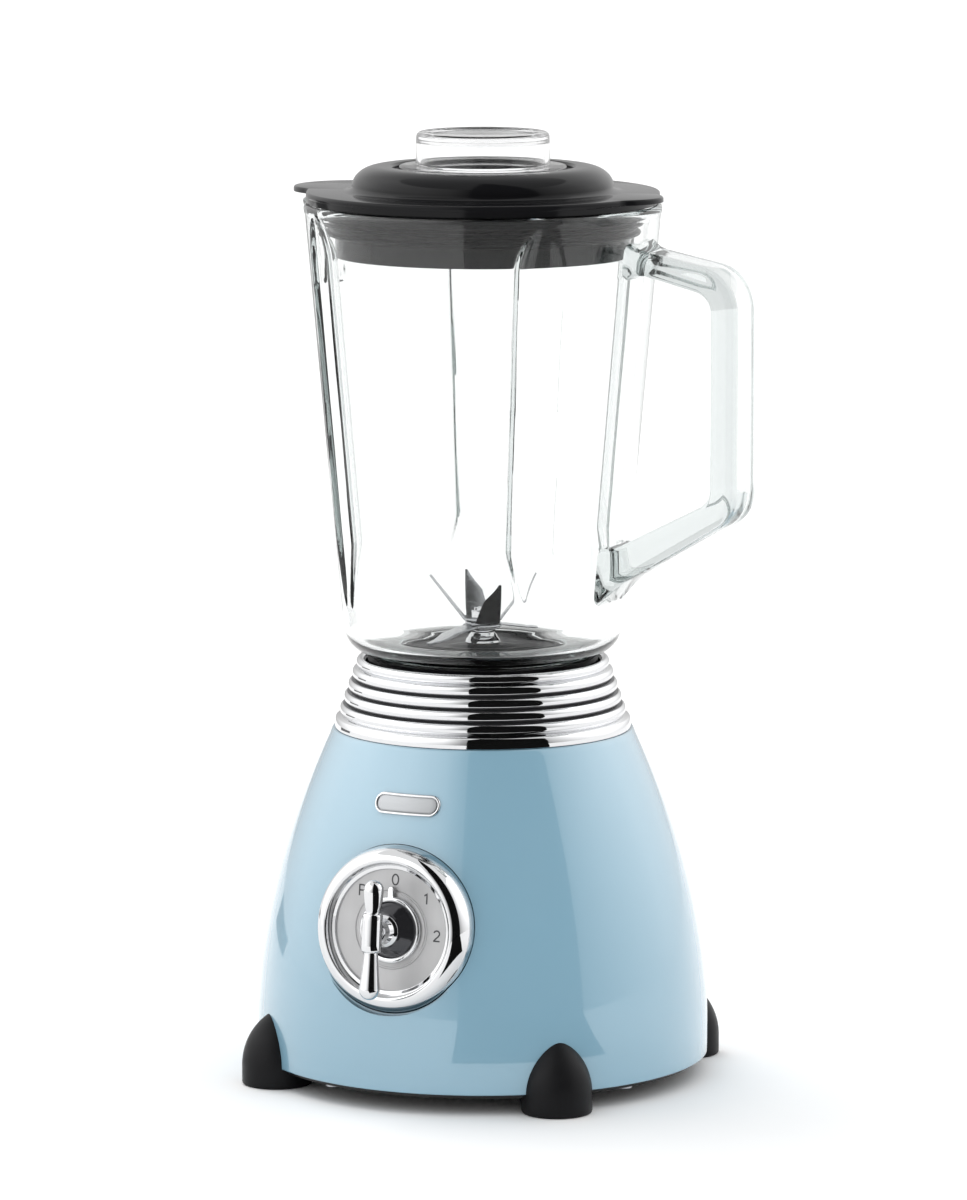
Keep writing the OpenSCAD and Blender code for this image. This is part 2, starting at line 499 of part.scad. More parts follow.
module jug_coupling() color([0.16, 0.16, 0.17]) difference() {
  translate([0, 0, 149.4]) cylinder(r = 17, h = 12.8);
  translate([0, 0, 148]) linear_extrude(9.2) star(0.55);
  translate([0, 0, 150]) cylinder(r = 3.02, h = 20);
}
module blade_hub() color(CHROME) rotate_extrude() polygon([[3.02, 181.7], [7.1, 181.7], [7.3, 182.3], [6.9, 183.2], [5.2, 184.1],
  [4.8, 185.2], [5.4, 186.3], [7.4, 186.9], [7.4, 187.3], [3.02, 187.3]]);
// One stamped blade arm: a flat root, then a tapered cutting arm bent by an angle.
// The bent strip is cut to the arm's outline seen from above.
module arm(l, w0, w1, bend, z) {
  reach = 8 + l * cos(bend);
  intersection() {
    translate([0, 12, z]) rotate([90, 0, 0]) linear_extrude(24) polygon([[0, 0], [8, 0], [8 + l * cos(bend), l * sin(bend)],
      [8 + l * cos(bend) - sin(bend), l * sin(bend) + cos(bend)], [8 - tan(bend / 2), 1], [0, 1]]);
    translate([0, 0, z - 20]) linear_extrude(60) polygon([[0, -w0 / 2], [9, -w0 / 2], [9 + (reach - 9) * 0.8, -w1 / 2 - 0.4],
      [reach + 2, w1 / 2 - 1.2], [reach + 1, w1 / 2], [9, w0 / 2], [0, w0 / 2]]);
  }
}
module blade_plate(z) difference() {
  union() { translate([0, 0, z]) cylinder(r = 7.4, h = 1); children(); }
  cylinder(r = 3.02, h = 300);
}
module blade_lower() color(STEEL) blade_plate(187.4) for (a = [0, 180]) rotate([0, 0, a + 64])
  arm(25, 10, 6, -10, 187.4);
module blade_middle() color(STEEL) blade_plate(188.6) for (a = [0, 180]) rotate([0, 0, a + 130])
  arm(26, 13, 4, 47, 188.6);
module blade_upper() color(STEEL) blade_plate(190.2) for (a = [0, 180]) rotate([0, 0, a + 24])
  arm(24, 9, 4, 52, 190.2);
module blade_nut() color(CHROME) difference() {
  union() {
    translate([0, 0, 191.4]) cylinder(r = 5.2, h = 2.6, $fn = 6);
    translate([0, 0, 193.5]) cylinder(r = 3.8, h = 2.0);
  }
  translate([0, 0, 190]) cylinder(r = 3.02, h = 4.7);
}

// ---------------------------------------------------------------- lid and cap
module lid() color(BLACK) difference() {
  union() {
    rotate_extrude() polygon(concat([[61, 363.4], [lid_r - 0.4, 363.4], [lid_r, 364], [lid_r, 367.4], [lid_r - 0.7, 368.3], [58.5, 368.3],
      [56, 368.6], [54.6, 369.3]], [for (i = [0 : 8]) let(a = 90 * i / 8) [43 + 11 * cos(a), 370 + (lid_top - 370) * sin(a)]],
      [[38.2, lid_top], [37.4, 378.2], [37.4, 376.3],
      [29.5, 376.3], [29.5, 356], [31.8, 356], [31.8, 373.3], [39, 375.2], [43, 375.2], [49, 371.6], [52, 366.6], [57.6, 364.8], [57.6, 343], [60.9, 342], [60.9, 363.4]]));
    intersection() {
      translate([0, 0, 366.1]) linear_extrude(2.2) union() {
        translate([-(lid_spout_x - 24), 0]) circle(r = 24);
        translate([59, 0]) circle(r = 20.5);
      }
      difference() { translate([0, 0, 360]) cylinder(r = 90, h = 20); translate([0, 0, 359]) cylinder(r = 65, h = 22); }
    }
  }
}
module lid_seal() color([0.16, 0.16, 0.17]) rotate_extrude() polygon([[61.0, 350.4], [63.0, 350.4], [66.2, 351.6], [66.2, 352.6], [63.2, 352.6],
  [63.2, 354.2], [66.8, 355.4], [66.8, 356.4], [63.2, 356.4], [63.2, 358], [67.2, 359.2], [67.2, 360.2], [63.2, 360.2], [63.2, 363.2], [61.0, 363.2]]);
module measuring_cap() color([0.93, 0.94, 0.95, 0.35]) difference() {
  union() {
    rotate_extrude() polygon([[0, 362], [28.8, 362], [28.8, 376.5], [34.6, 376.5], [34.6, 378.3], [cap_r, 378.6], [cap_r, cap_top - 1.5],
      [cap_r - 1.2, cap_top - 0.3], [cap_r - 2.4, cap_top], [0, cap_top]]);
  }
  translate([0, 0, 360]) cylinder(r = cap_r - 2.2, h = cap_top - 362.8 - 2);
  rotate_extrude() polygon([[0, cap_top - 0.9], [18, cap_top - 0.9], [20, cap_top + 1], [0, cap_top + 1]]);
}

base_shell();
bottom_plate();
bottom_screws();
foot_front_left();
foot_front_right();
foot_rear_left();
foot_rear_right();
foot_screws();
collar_ring();
jug_seat();
badge();
dial_bezel();
dial_plate();
switch_bracket();
dial_screws();
rotary_switch();
cord_inlet();
interlock_switch();
motor_stator();
field_coils();
motor_bracket_upper();
motor_bracket_lower();
motor_bolts();
rubber_mounts();
mount_bolts();
bearing_upper();
bearing_lower();
brush_holders();
carbon_brushes();
brush_springs();
motor_shaft();
armature_core();
armature_windings();
commutator();
cooling_fan();
drive_coupling();
interlock_pin();
knob_spindle();
switch_cam();
knob_disc();
knob_rim();
knob_stem();
knob_lever();
knob_grub_screw();
glass_jug();
jug_handle();
jug_base_collar();
jug_gasket();
blade_housing();
blade_bush();
blade_shaft();
jug_coupling();
blade_hub();
blade_lower();
blade_middle();
blade_upper();
blade_nut();
lid();
lid_seal();
measuring_cap();
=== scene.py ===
"""Looks of the countertop blender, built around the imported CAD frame.

Frame: +Z up, floor at z = 0, dial towards -Y, handle towards +X, spout towards -X.
Lengths below are in millimetres and are scaled to metres when a mesh is made.
"""
import json
import math

import bmesh
import bpy
from mathutils import Matrix, Vector


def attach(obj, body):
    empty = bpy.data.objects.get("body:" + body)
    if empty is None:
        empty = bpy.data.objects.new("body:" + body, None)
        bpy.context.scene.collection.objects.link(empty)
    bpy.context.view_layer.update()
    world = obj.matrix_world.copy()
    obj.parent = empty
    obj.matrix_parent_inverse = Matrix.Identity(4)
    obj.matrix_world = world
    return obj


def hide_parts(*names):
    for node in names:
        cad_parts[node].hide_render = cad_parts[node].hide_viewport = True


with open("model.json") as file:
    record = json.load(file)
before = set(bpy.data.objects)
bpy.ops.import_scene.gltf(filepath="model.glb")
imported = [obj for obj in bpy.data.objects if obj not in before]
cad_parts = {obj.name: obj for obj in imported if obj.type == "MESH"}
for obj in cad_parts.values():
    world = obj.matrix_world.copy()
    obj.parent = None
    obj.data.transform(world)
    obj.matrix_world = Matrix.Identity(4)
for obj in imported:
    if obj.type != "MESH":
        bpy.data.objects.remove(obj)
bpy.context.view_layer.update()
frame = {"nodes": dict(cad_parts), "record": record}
MM = 0.001
NODES = frame["nodes"]
RECORD = frame["record"]
TAU = 2 * math.pi
D2R = math.pi / 180

# ------------------------------------------------------------------ shapes that the pieces share
BASE_R, SHELL_TOP_R, SHELL_BOT, SHELL_TOP = 94.0, 62.4, 8.5, 145.2
DOME_Z, DOME_N = 20.0, 1.87
DOME_K = (BASE_R - SHELL_TOP_R) / (SHELL_TOP - DOME_Z) ** DOME_N
DIAL = Matrix(((1, 0, 0, 0),
               (0, math.cos(84 * D2R), -math.sin(84 * D2R), -86.2),
               (0, math.sin(84 * D2R), math.cos(84 * D2R), 74.0),
               (0, 0, 0, 1)))
JUG_TOP, JUG_RIM_R, JUG_LOW_R, JUG_LOW_Z = 363.2, 73.7, 58.4, 191.7
JUG_SLOPE = (JUG_RIM_R - 0.4 - JUG_LOW_R) / (JUG_TOP - 4 - JUG_LOW_Z)
GLASS_T = 3.6


def shell_r(z):
    return BASE_R if z <= DOME_Z else BASE_R - DOME_K * (z - DOME_Z) ** DOME_N


def jug_wall(z):
    return JUG_LOW_R + JUG_SLOPE * (z - JUG_LOW_Z)


def smax(a, b, k):
    """A rounded maximum of a and b: k is the size of the blend."""
    h = max(k - abs(a - b), 0.0) / k
    return max(a, b) + h * h * k * 0.25


def smin(a, b, k):
    return -smax(-a, -b, k)


def fillet(pts, n=6, closed=True):
    """pts: (x, y) or (x, y, radius). Returns the outline with those corners rounded."""
    out = []
    count = len(pts)
    for i, p in enumerate(pts):
        r = p[2] if len(p) > 2 else 0.0
        if r <= 0 or (not closed and i in (0, count - 1)):
            out.append((p[0], p[1]))
            continue
        a, b, c = Vector(pts[i - 1][:2]), Vector(p[:2]), Vector(pts[(i + 1) % count][:2])
        u, w = a - b, c - b
        lu, lw = u.length, w.length
        if lu < 1e-9 or lw < 1e-9:
            out.append((p[0], p[1]))
            continue
        u, w = u / lu, w / lw
        cosang = max(-0.9999, min(0.9999, u.dot(w)))
        half = math.acos(cosang) / 2
        if half > 1.553:
            out.append((p[0], p[1]))
            continue
        d = min(r / math.tan(half), 0.48 * lu, 0.48 * lw)
        r = d * math.tan(half)
        m = b + (u + w).normalized() * (r / math.sin(half))
        s, e = b + u * d, b + w * d
        a0 = math.atan2(s.y - m.y, s.x - m.x)
        a1 = math.atan2(e.y - m.y, e.x - m.x)
        da = (a1 - a0 + math.pi) % TAU - math.pi
        for k in range(n + 1):
            t = a0 + da * k / n
            out.append((m.x + r * math.cos(t), m.y + r * math.sin(t)))
    return out


def lathe_data(profile, segs=128, radius_of=None):
    """Closed profile of (r, z) turned about Z. radius_of(i, az) may change one point's radius."""
    verts, faces, index = [], [], []
    n = len(profile)
    for i, (r, z) in enumerate(profile):
        if abs(r) < 1e-7:
            index.append([len(verts)] * segs)
            verts.append((0.0, 0.0, z))
            continue
        row = []
        for j in range(segs):
            a = TAU * j / segs
            rr = radius_of(i, a) if radius_of else r
            row.append(len(verts))
            verts.append((rr * math.cos(a), rr * math.sin(a), z))
        index.append(row)
    for i in range(n):
        k = (i + 1) % n
        for j in range(segs):
            l = (j + 1) % segs
            f = []
            for v in (index[i][j], index[i][l], index[k][l], index[k][j]):
                if v not in f:
                    f.append(v)
            if len(f) > 2:
                faces.append(f)
    return verts, faces


def mesh_of(name, parts, sharp=32.0, merge=1e-6, matrix=None, smooth=True):
    """One mesh from several (verts, faces) in millimetres: merged, closed, normals outwards."""
    me = bpy.data.meshes.new(name)
    bm = bmesh.new()
    for verts, faces in parts:
        made = [bm.verts.new(Vector(v)) for v in verts]
        for f in faces:
            try:
                bm.faces.new([made[i] for i in f])
            except ValueError:
                pass
    if matrix is not None:
        bmesh.ops.transform(bm, matrix=matrix, verts=bm.verts)
    bmesh.ops.scale(bm, vec=(MM, MM, MM), verts=bm.verts)
    bmesh.ops.remove_doubles(bm, verts=bm.verts, dist=merge)
    bmesh.ops.dissolve_degenerate(bm, edges=bm.edges, dist=1e-8)
    loose = [v for v in bm.verts if not v.link_faces]
    if loose:
        bmesh.ops.delete(bm, geom=loose, context="VERTS")
    bmesh.ops.recalc_face_normals(bm, faces=bm.faces)
    bm.to_mesh(me)
    bm.free()
    finish_shading(me, sharp, smooth)
    return me


def finish_shading(me, sharp=32.0, smooth=True):
    me.polygons.foreach_set("use_smooth", [smooth] * len(me.polygons))
    if smooth and sharp < 180:
        me.set_sharp_from_angle(angle=sharp * D2R)
    me.update()


def obj_of(name, me):
    o = bpy.data.objects.new(name, me)
    bpy.context.scene.collection.objects.link(o)
    return o


def apply_modifiers(o):
    dg = bpy.context.evaluated_depsgraph_get()
    dg.update()
    me = bpy.data.meshes.new_from_object(o.evaluated_get(dg), depsgraph=dg)
    o.modifiers.clear()
    old = o.data
    o.data = me
    me.name = o.name
    bpy.data.meshes.remove(old)
    return o


def boolean(o, cutters, operation="DIFFERENCE", sharp=32.0, solver="MANIFOLD"):
    """Applies cutters to o and removes them."""
    bpy.context.view_layer.update()
    for c in cutters:
        before = len(o.data.vertices)
        for s in (solver, "EXACT"):
            m = o.modifiers.new("b", "BOOLEAN")
            m.operation, m.object = operation, c
            try:
                m.solver = s
            except TypeError:
                o.modifiers.clear()
                continue
            dg = bpy.context.evaluated_depsgraph_get()
            dg.update()
            got = o.evaluated_get(dg)
            if len(got.data.vertices) not in (0, before):
                apply_modifiers(o)
                break
            o.modifiers.clear()
        me = c.data
        bpy.data.objects.remove(c)
        bpy.data.meshes.remove(me)
    finish_shading(o.data, sharp)
    return o


def cylinder_data(r, z0, z1, segs=96):
    return lathe_data([(0, z0), (r, z0), (r, z1), (0, z1)], segs)


# ------------------------------------------------------------------ materials
MATS = {}


def material(name, color, metallic=0.0, rough=0.4, rough_var=0.06, rough_scale=90.0, bump=0.15, bump_scale=1500.0,
             bump_dist=0.00004, color_var=0.04, color_scale=20.0, coat=0.0, coat_rough=0.03, ior=1.5, aniso=0.0,
             stretch=(1, 1, 1), spec=0.5, transmission=0.0, wave=None, absorb=None, coat_ior=1.5):
    """Procedural material: colour, roughness and relief all vary at the scale the real surface shows."""
    m = bpy.data.materials.new(name)
    m.use_nodes = True
    nt = m.node_tree
    nt.nodes.clear()
    out = nt.nodes.new("ShaderNodeOutputMaterial")
    p = nt.nodes.new("ShaderNodeBsdfPrincipled")
    nt.links.new(p.outputs["BSDF"], out.inputs["Surface"])
    tc = nt.nodes.new("ShaderNodeTexCoord")
    mp = nt.nodes.new("ShaderNodeMapping")
    mp.inputs["Scale"].default_value = stretch
    nt.links.new(tc.outputs["Object"], mp.inputs["Vector"])

    def noise(scale, detail=3.0, rough_=0.55):
        n = nt.nodes.new("ShaderNodeTexNoise")
        n.inputs["Scale"].default_value = scale
        n.inputs["Detail"].default_value = detail
        n.inputs["Roughness"].default_value = rough_
        nt.links.new(mp.outputs["Vector"], n.inputs["Vector"])
        return n

    def ranged(src, lo, hi, a=0.3, b=0.7):
        r = nt.nodes.new("ShaderNodeMapRange")
        r.inputs["From Min"].default_value = a
        r.inputs["From Max"].default_value = b
        r.inputs["To Min"].default_value = lo
        r.inputs["To Max"].default_value = hi
        nt.links.new(src, r.inputs["Value"])
        return r.outputs["Result"]

    p.inputs["Metallic"].default_value = metallic
    p.inputs["IOR"].default_value = ior
    p.inputs["Specular IOR Level"].default_value = spec
    p.inputs["Coat Weight"].default_value = coat
    p.inputs["Coat Roughness"].default_value = coat_rough
    p.inputs["Coat IOR"].default_value = coat_ior
    p.inputs["Anisotropic"].default_value = aniso
    p.inputs["Transmission Weight"].default_value = transmission
    if transmission > 0.4 or color_var <= 0:
        p.inputs["Base Color"].default_value = (*color, 1)
    else:
        lo = [max(0.0, c * (1 - color_var)) for c in color]
        hi = [min(1.0, c * (1 + color_var)) for c in color]
        ramp = nt.nodes.new("ShaderNodeValToRGB")
        ramp.color_ramp.elements[0].position = 0.3
        ramp.color_ramp.elements[0].color = (*lo, 1)
        ramp.color_ramp.elements[1].position = 0.7
        ramp.color_ramp.elements[1].color = (*hi, 1)
        nt.links.new(noise(color_scale, 4.0).outputs["Fac"], ramp.inputs["Fac"])
        nt.links.new(ramp.outputs["Color"], p.inputs["Base Color"])
    nt.links.new(ranged(noise(rough_scale, 4.0).outputs["Fac"], max(0.0, rough - rough_var), rough + rough_var), p.inputs["Roughness"])
    normal = None
    if wave:
        w = nt.nodes.new("ShaderNodeTexWave")
        w.wave_type, w.bands_direction = wave[0], wave[1]
        w.inputs["Scale"].default_value = wave[2]
        w.inputs["Distortion"].default_value = wave[3]
        w.inputs["Detail"].default_value = 2.0
        nt.links.new(mp.outputs["Vector"], w.inputs["Vector"])
        b = nt.nodes.new("ShaderNodeBump")
        b.inputs["Strength"].default_value = wave[4]
        b.inputs["Distance"].default_value = wave[5]
        nt.links.new(w.outputs["Fac"], b.inputs["Height"])
        normal = b
    if bump > 0:
        b = nt.nodes.new("ShaderNodeBump")
        b.inputs["Strength"].default_value = bump
        b.inputs["Distance"].default_value = bump_dist
        nt.links.new(noise(bump_scale, 2.0).outputs["Fac"], b.inputs["Height"])
        if normal:
            nt.links.new(normal.outputs["Normal"], b.inputs["Normal"])
        normal = b
    if normal:
        nt.links.new(normal.outputs["Normal"], p.inputs["Normal"])
    if absorb:
        v = nt.nodes.new("ShaderNodeVolumeAbsorption")
        v.inputs["Color"].default_value = (*absorb[0], 1)
        v.inputs["Density"].default_value = absorb[1]
        nt.links.new(v.outputs["Volume"], out.inputs["Volume"])
    MATS[name] = m
    return m


material("shell_paint", (0.222, 0.398, 0.508), coat_ior=1.74, rough=0.24, rough_var=0.03, rough_scale=45, bump=0.10, bump_scale=420,
         bump_dist=0.00003, color_var=0.012, color_scale=14, coat=1.0, coat_rough=0.035)
material("chrome", (0.70, 0.705, 0.715), metallic=1.0, rough=0.035, rough_var=0.02, rough_scale=120, bump=0.05,
         bump_scale=260, bump_dist=0.00002, color_var=0.01)
material("chrome_dark", (0.045, 0.045, 0.05), metallic=0.6, rough=0.16, rough_var=0.04, rough_scale=220, bump=0.08,
         bump_scale=700, bump_dist=0.00002, color_var=0.05, coat=0.4)
# painted shade: a dark, rough chrome for the bottoms of the collar's grooves, standing in for the shade there
material("chrome_groove_painted_shade", (0.10, 0.10, 0.105), metallic=0.8, rough=0.35, rough_var=0.05, rough_scale=200, bump=0.1, bump_scale=700,
         bump_dist=0.00002, color_var=0.05)
material("dial_silver", (0.50, 0.50, 0.505), metallic=0.45, rough=0.34, rough_var=0.05, rough_scale=160, bump=0.22,
         bump_scale=380, bump_dist=0.00003, color_var=0.02, stretch=(12, 1, 1), aniso=0.4)
material("dial_ink", (0.055, 0.055, 0.06), rough=0.45, bump=0.1, bump_scale=2500)
material("black_plastic", (0.009, 0.009, 0.010), spec=0.32, rough=0.36, rough_var=0.07, rough_scale=130, bump=0.25, bump_scale=2200,
         bump_dist=0.00004, color_var=0.10)
material("gloss_black", (0.0070, 0.0070, 0.0078), spec=0.14, rough=0.105, rough_var=0.025, rough_scale=55, bump=0.06, bump_scale=500,
         bump_dist=0.00003, color_var=0.10)
material("foot_rubber", (0.007, 0.007, 0.008), spec=0.13, rough=0.42, rough_var=0.06, rough_scale=160, bump=0.30, bump_scale=2600,
         bump_dist=0.00005, color_var=0.12)
material("glass", (0.997, 0.999, 0.998), rough=0.004, rough_var=0.004, rough_scale=40, bump=0.05, bump_scale=34,
         bump_dist=0.0006, transmission=1.0, ior=1.44, absorb=((0.67, 0.715, 0.71), 38.0))
material("clear_plastic", (0.996, 0.997, 0.998), rough=0.012, rough_var=0.01, rough_scale=60, bump=0.04, bump_scale=60,
         bump_dist=0.0004, transmission=1.0, ior=1.40, absorb=((0.70, 0.72, 0.74), 2.0))
material("carrier_black", (0.0070, 0.0070, 0.0080), spec=0.02, rough=0.34, rough_var=0.06, rough_scale=150, bump=0.2, bump_scale=2200,
         bump_dist=0.00004, color_var=0.10)
material("badge_satin", (0.34, 0.35, 0.36), metallic=0.9, rough=0.33, rough_var=0.05, rough_scale=300, bump=0.25, bump_scale=900,
         bump_dist=0.00003, color_var=0.02, stretch=(1, 1, 14), aniso=0.4)
material("seal_silicone", (0.0055, 0.0055, 0.0062), spec=0.06, rough=0.38, rough_var=0.05, rough_scale=140, bump=0.08, bump_scale=1800,
         bump_dist=0.00003)
material("blade_steel", (0.46, 0.47, 0.485), metallic=1.0, rough=0.22, rough_var=0.06, rough_scale=180, bump=0.30,
         bump_scale=420, bump_dist=0.00004, color_var=0.05, stretch=(1, 1, 9), aniso=0.3)
material("steel", (0.50, 0.51, 0.53), metallic=1.0, rough=0.30, rough_var=0.08, rough_scale=240, bump=0.2, bump_scale=900)
material("lamination_steel", (0.27, 0.28, 0.30), metallic=0.9, rough=0.42, rough_var=0.08, rough_scale=200, bump=0.1,
         bump_scale=900, wave=("BANDS", "Z", 320.0, 0.2, 0.6, 0.0001))
material("copper", (0.62, 0.25, 0.10), metallic=0.9, rough=0.30, rough_var=0.07, rough_scale=260, bump=0.15, bump_scale=900,
         wave=("BANDS", "Z", 240.0, 1.2, 0.7, 0.0002))
material("brass", (0.72, 0.53, 0.24), metallic=1.0, rough=0.28, rough_var=0.07, rough_scale=260, bump=0.15, bump_scale=1100)
material("aluminium", (0.66, 0.67, 0.69), metallic=1.0, rough=0.44, rough_var=0.08, rough_scale=260, bump=0.35, bump_scale=1600)
material("carbon", (0.045, 0.045, 0.05), metallic=0.2, rough=0.55, rough_var=0.08, rough_scale=300, bump=0.3, bump_scale=2500)
material("rubber", (0.022, 0.022, 0.023), rough=0.55, rough_var=0.07, rough_scale=150, bump=0.35, bump_scale=2300)
material("switch_plastic", (0.72, 0.72, 0.68), rough=0.40, rough_var=0.06, rough_scale=200, bump=0.2, bump_scale=2000)
material("cam_plastic", (0.50, 0.08, 0.05), rough=0.38, rough_var=0.06, rough_scale=200, bump=0.2, bump_scale=2000)
material("floor_paper", (0.93, 0.93, 0.93), rough=0.7, rough_var=0.05, rough_scale=8, bump=0.02, bump_scale=300, color_var=0.004,
         spec=0.1)

SLOT_OF = {s["node"]: s["material_slot"] for s in RECORD["subparts"]}
for node_name, node_obj in NODES.items():
    node_obj.data.materials.clear()
    node_obj.data.materials.append(MATS[SLOT_OF[node_name]])


def piece(name, me_or_obj, body, nodes, slot, mat=None):
    """Dresses a mesh, rides it on its body and lets it stand for its CAD nodes."""
    o = me_or_obj if isinstance(me_or_obj, bpy.types.Object) else obj_of(name, me_or_obj)
    o.name = name
    o.data.materials.clear()
    o.data.materials.append(MATS[mat or slot])
    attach(o, body)
    if nodes:
        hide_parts(*nodes)
    return o


# ------------------------------------------------------------------ base shell
def shell_solid(off, z0, z1, segs=192, steps=40):
    pts = [(0, z0)] + [(shell_r(z0 + (z1 - z0) * i / steps) + off, z0 + (z1 - z0) * i / steps) for i in range(steps + 1)] + [(0, z1)]
    return lathe_data(pts, segs)


outer = [(93.55, 8.5), (93.8, 8.62), (93.95, 8.85), (94.0, 9.2), (94.0, 13.0), (94.0, 17.0), (94.0, 20.0)]
for i in range(1, 64):
    z = 20.0 + 124.6 * i / 63
    outer.append((shell_r(z), z))
outer += [(shell_r(144.9) - 0.12, 144.95), (shell_r(145.0) - 0.5, 145.17), (61.2, 145.2), (52.0, 145.2), (40.0, 145.2), (40.0, 142.5), (52.0, 142.5)]
inner = []
for i in range(0, 40):
    z = 142.5 - (142.5 - 20.0) * i / 39
    inner.append((shell_r(z) - 2.5, z))
inner += [(91.5, 14.0), (91.5, 8.7), (91.7, 8.5)]
shell = obj_of("shell", mesh_of("shell", [lathe_data(outer + inner, 256)], sharp=40))
seat_boss = obj_of("seat_boss", mesh_of("seat_boss", [cylinder_data(37.3, -11.5, 8, 160)], matrix=DIAL))
boolean(seat_boss, [obj_of("within", mesh_of("within", [shell_solid(-0.5, 12, 140)]))], "INTERSECT", sharp=40)
boolean(shell, [seat_boss], "UNION", sharp=40)
# the dial's opening follows the bezel's slope behind a shallow round recess
recess = fillet([(0, -18), (34.8, -18), (34.8, -6.5), (34.65, -3.4), (34.2, -0.9), (34.95, -0.9, 0.3), (35.1, 8), (0, 8)], n=4)
cut_dial = obj_of("cut", mesh_of("cut", [lathe_data(recess, 192)], matrix=DIAL))
cut_cord = obj_of("cut2", mesh_of("cut2", [cylinder_data(6.1, 84, 98, 64)], matrix=Matrix.Translation((0, 0, 24)) @ Matrix.Rotation(-math.pi / 2, 4, "X")))
boolean(shell, [cut_dial, cut_cord], sharp=40)
piece("shell", shell, "root", ["base_shell"], "shell_paint")

# ------------------------------------------------------------------ feet
for tag, a in (("front_left", -45), ("front_right", 45), ("rear_left", -135), ("rear_right", 135)):
    prof = [(0, 0), (13.2, 0), (13.9, 0.15), (14.3, 0.5), (14.5, 1.1), (14.5, 3.0), (14.5, 5.5)]
    arc, rad, straight = 26.0, 14.5, 8.0
    top = math.sqrt(arc ** 2 - (arc - rad) ** 2)
    for i in range(25):
        u = top * math.sin(i / 24 * math.pi / 2)
        r = rad - arc + math.sqrt(max(arc ** 2 - u ** 2, 0))
        if i >= 22:                      # the point is slightly blunted
            r = max(r, 0)
        prof.append((r, straight + u))
    prof[-1] = (0, straight + top - 0.25)
    prof[-2] = (prof[-2][0] * 1.0, prof[-2][1])
    x, y = 90.5 * math.sin(a * D2R), -90.5 * math.cos(a * D2R)
    foot = obj_of("foot_" + tag, mesh_of("foot", [lathe_data(prof, 96)], sharp=50, matrix=Matrix.Translation((x, y, 0))))
    cut = obj_of("cut", mesh_of("cut", [shell_solid(0.10, 8.3, 60)]))
    cut2 = obj_of("cut2", mesh_of("cut2", [cylinder_data(91.3, 6.65, 8.6, 160)]))
    boolean(foot, [cut, cut2], sharp=50)
    piece("rubber_foot_" + tag, foot, "root", ["foot_" + tag], "foot_rubber")

# ------------------------------------------------------------------ chrome collar
COLLAR_R0, STEP_H, BEAD_D, COLLAR_Z = 61.6, 5.05, 1.3, 145.3
prof = [(59.4, COLLAR_Z), (61.2, COLLAR_Z), (61.5, COLLAR_Z + 0.1), (61.6, COLLAR_Z + 0.4), (61.55, COLLAR_Z + 2.0),
        (61.3, COLLAR_Z + STEP_H - 1.1), (61.0, COLLAR_Z + STEP_H - 0.65), (60.6, COLLAR_Z + STEP_H - 0.42)]
for k in range(1, 5):
    cr, cz = COLLAR_R0 - 0.6 - 1.72 * k, COLLAR_Z + STEP_H * (k + 0.5)
    for i in range(17):
        a = (-84 + 168 * i / 16) * D2R
        prof.append((cr - BEAD_D + BEAD_D * 1.15 * math.cos(a), cz + (STEP_H / 2 - 0.36) * math.sin(a) / math.sin(84 * D2R)))
    if k < 4:
        prof.append((cr - BEAD_D - 1.7, cz + STEP_H / 2))
for i in range(21):
    a = (-70 + 215 * i / 20) * D2R
    prof.append((50.9 + 1.7 * math.cos(a), COLLAR_Z + 5 * STEP_H + 2.0 + 2.0 * math.sin(a)))
prof += [(50.15, COLLAR_Z + 5 * STEP_H - 1.5), (50.15, COLLAR_Z + 5 * STEP_H - 8), (58.2, COLLAR_Z + 6)]
collar = piece("collar", mesh_of("collar", [lathe_data(prof, 256)], sharp=48), "root", ["collar_ring"], "chrome")
collar.data.materials.append(MATS["chrome_groove_painted_shade"])
for poly in collar.data.polygons:                # painted shade: faces at the bottoms of the grooves get a darker, rougher chrome that stands in for the shade falling there
    pr = math.hypot(poly.center.x, poly.center.y) / MM
    pz = poly.center.z / MM
    for k in range(1, 4):
        if abs(pz - (COLLAR_Z + STEP_H * (k + 1))) < 0.34 and pr < COLLAR_R0 - 0.6 - 1.72 * k - BEAD_D - 0.1:
            poly.material_index = 1

# black seat inside the collar
prof = fillet([(6, COLLAR_Z), (49.9, COLLAR_Z), (49.9, 173.0, 0.5), (48.7, 173.0, 0.5), (48.7, 148.1, 0.8), (6, 148.1)])
seat = mesh_of("seat", [lathe_data(prof, 160)], sharp=40)
piece("seat", seat, "root", ["jug_seat"], "black_plastic")

# ------------------------------------------------------------------ badge: a plain raised oval
def stadium(half, r, n):
    pts = []
    for i in range(n + 1):
        t = -math.pi / 2 + math.pi * i / n
        pts.append((half + r * math.cos(t), r * math.sin(t)))
    for i in range(1, 16):
        pts.append((half - 2 * half * i / 16, r))
    for i in range(n + 1):
        t = math.pi / 2 + math.pi * i / n
        pts.append((-half + r * math.cos(t), r * math.sin(t)))
    for i in range(1, 16):
        pts.append((-half + 2 * half * i / 16, -r))
    return pts


def badge_data(rows, rows_back, half=10.6):
    """A stadium wrapped on the shell. Each row is (distance out from the middle line, height over the shell)."""
    verts, faces, idx = [], [], []
    for r, h in rows + rows_back[::-1]:
        row = []
        for x, zz in stadium(half, r, 16):
            z = 123.5 + zz
            rr = shell_r(z) + h
            row.append(len(verts))
            verts.append((x, -math.sqrt(rr * rr - x * x), z))
        idx.append(row)
    n = len(idx)
    for i in range(n):
        if i == len(rows) - 1:
            continue
        k = (i + 1) % n
        m = len(idx[0])
        for j in range(m):
            l = (j + 1) % m
            faces.append([idx[i][j], idx[i][l], idx[k][l], idx[k][j]])
    return verts, faces


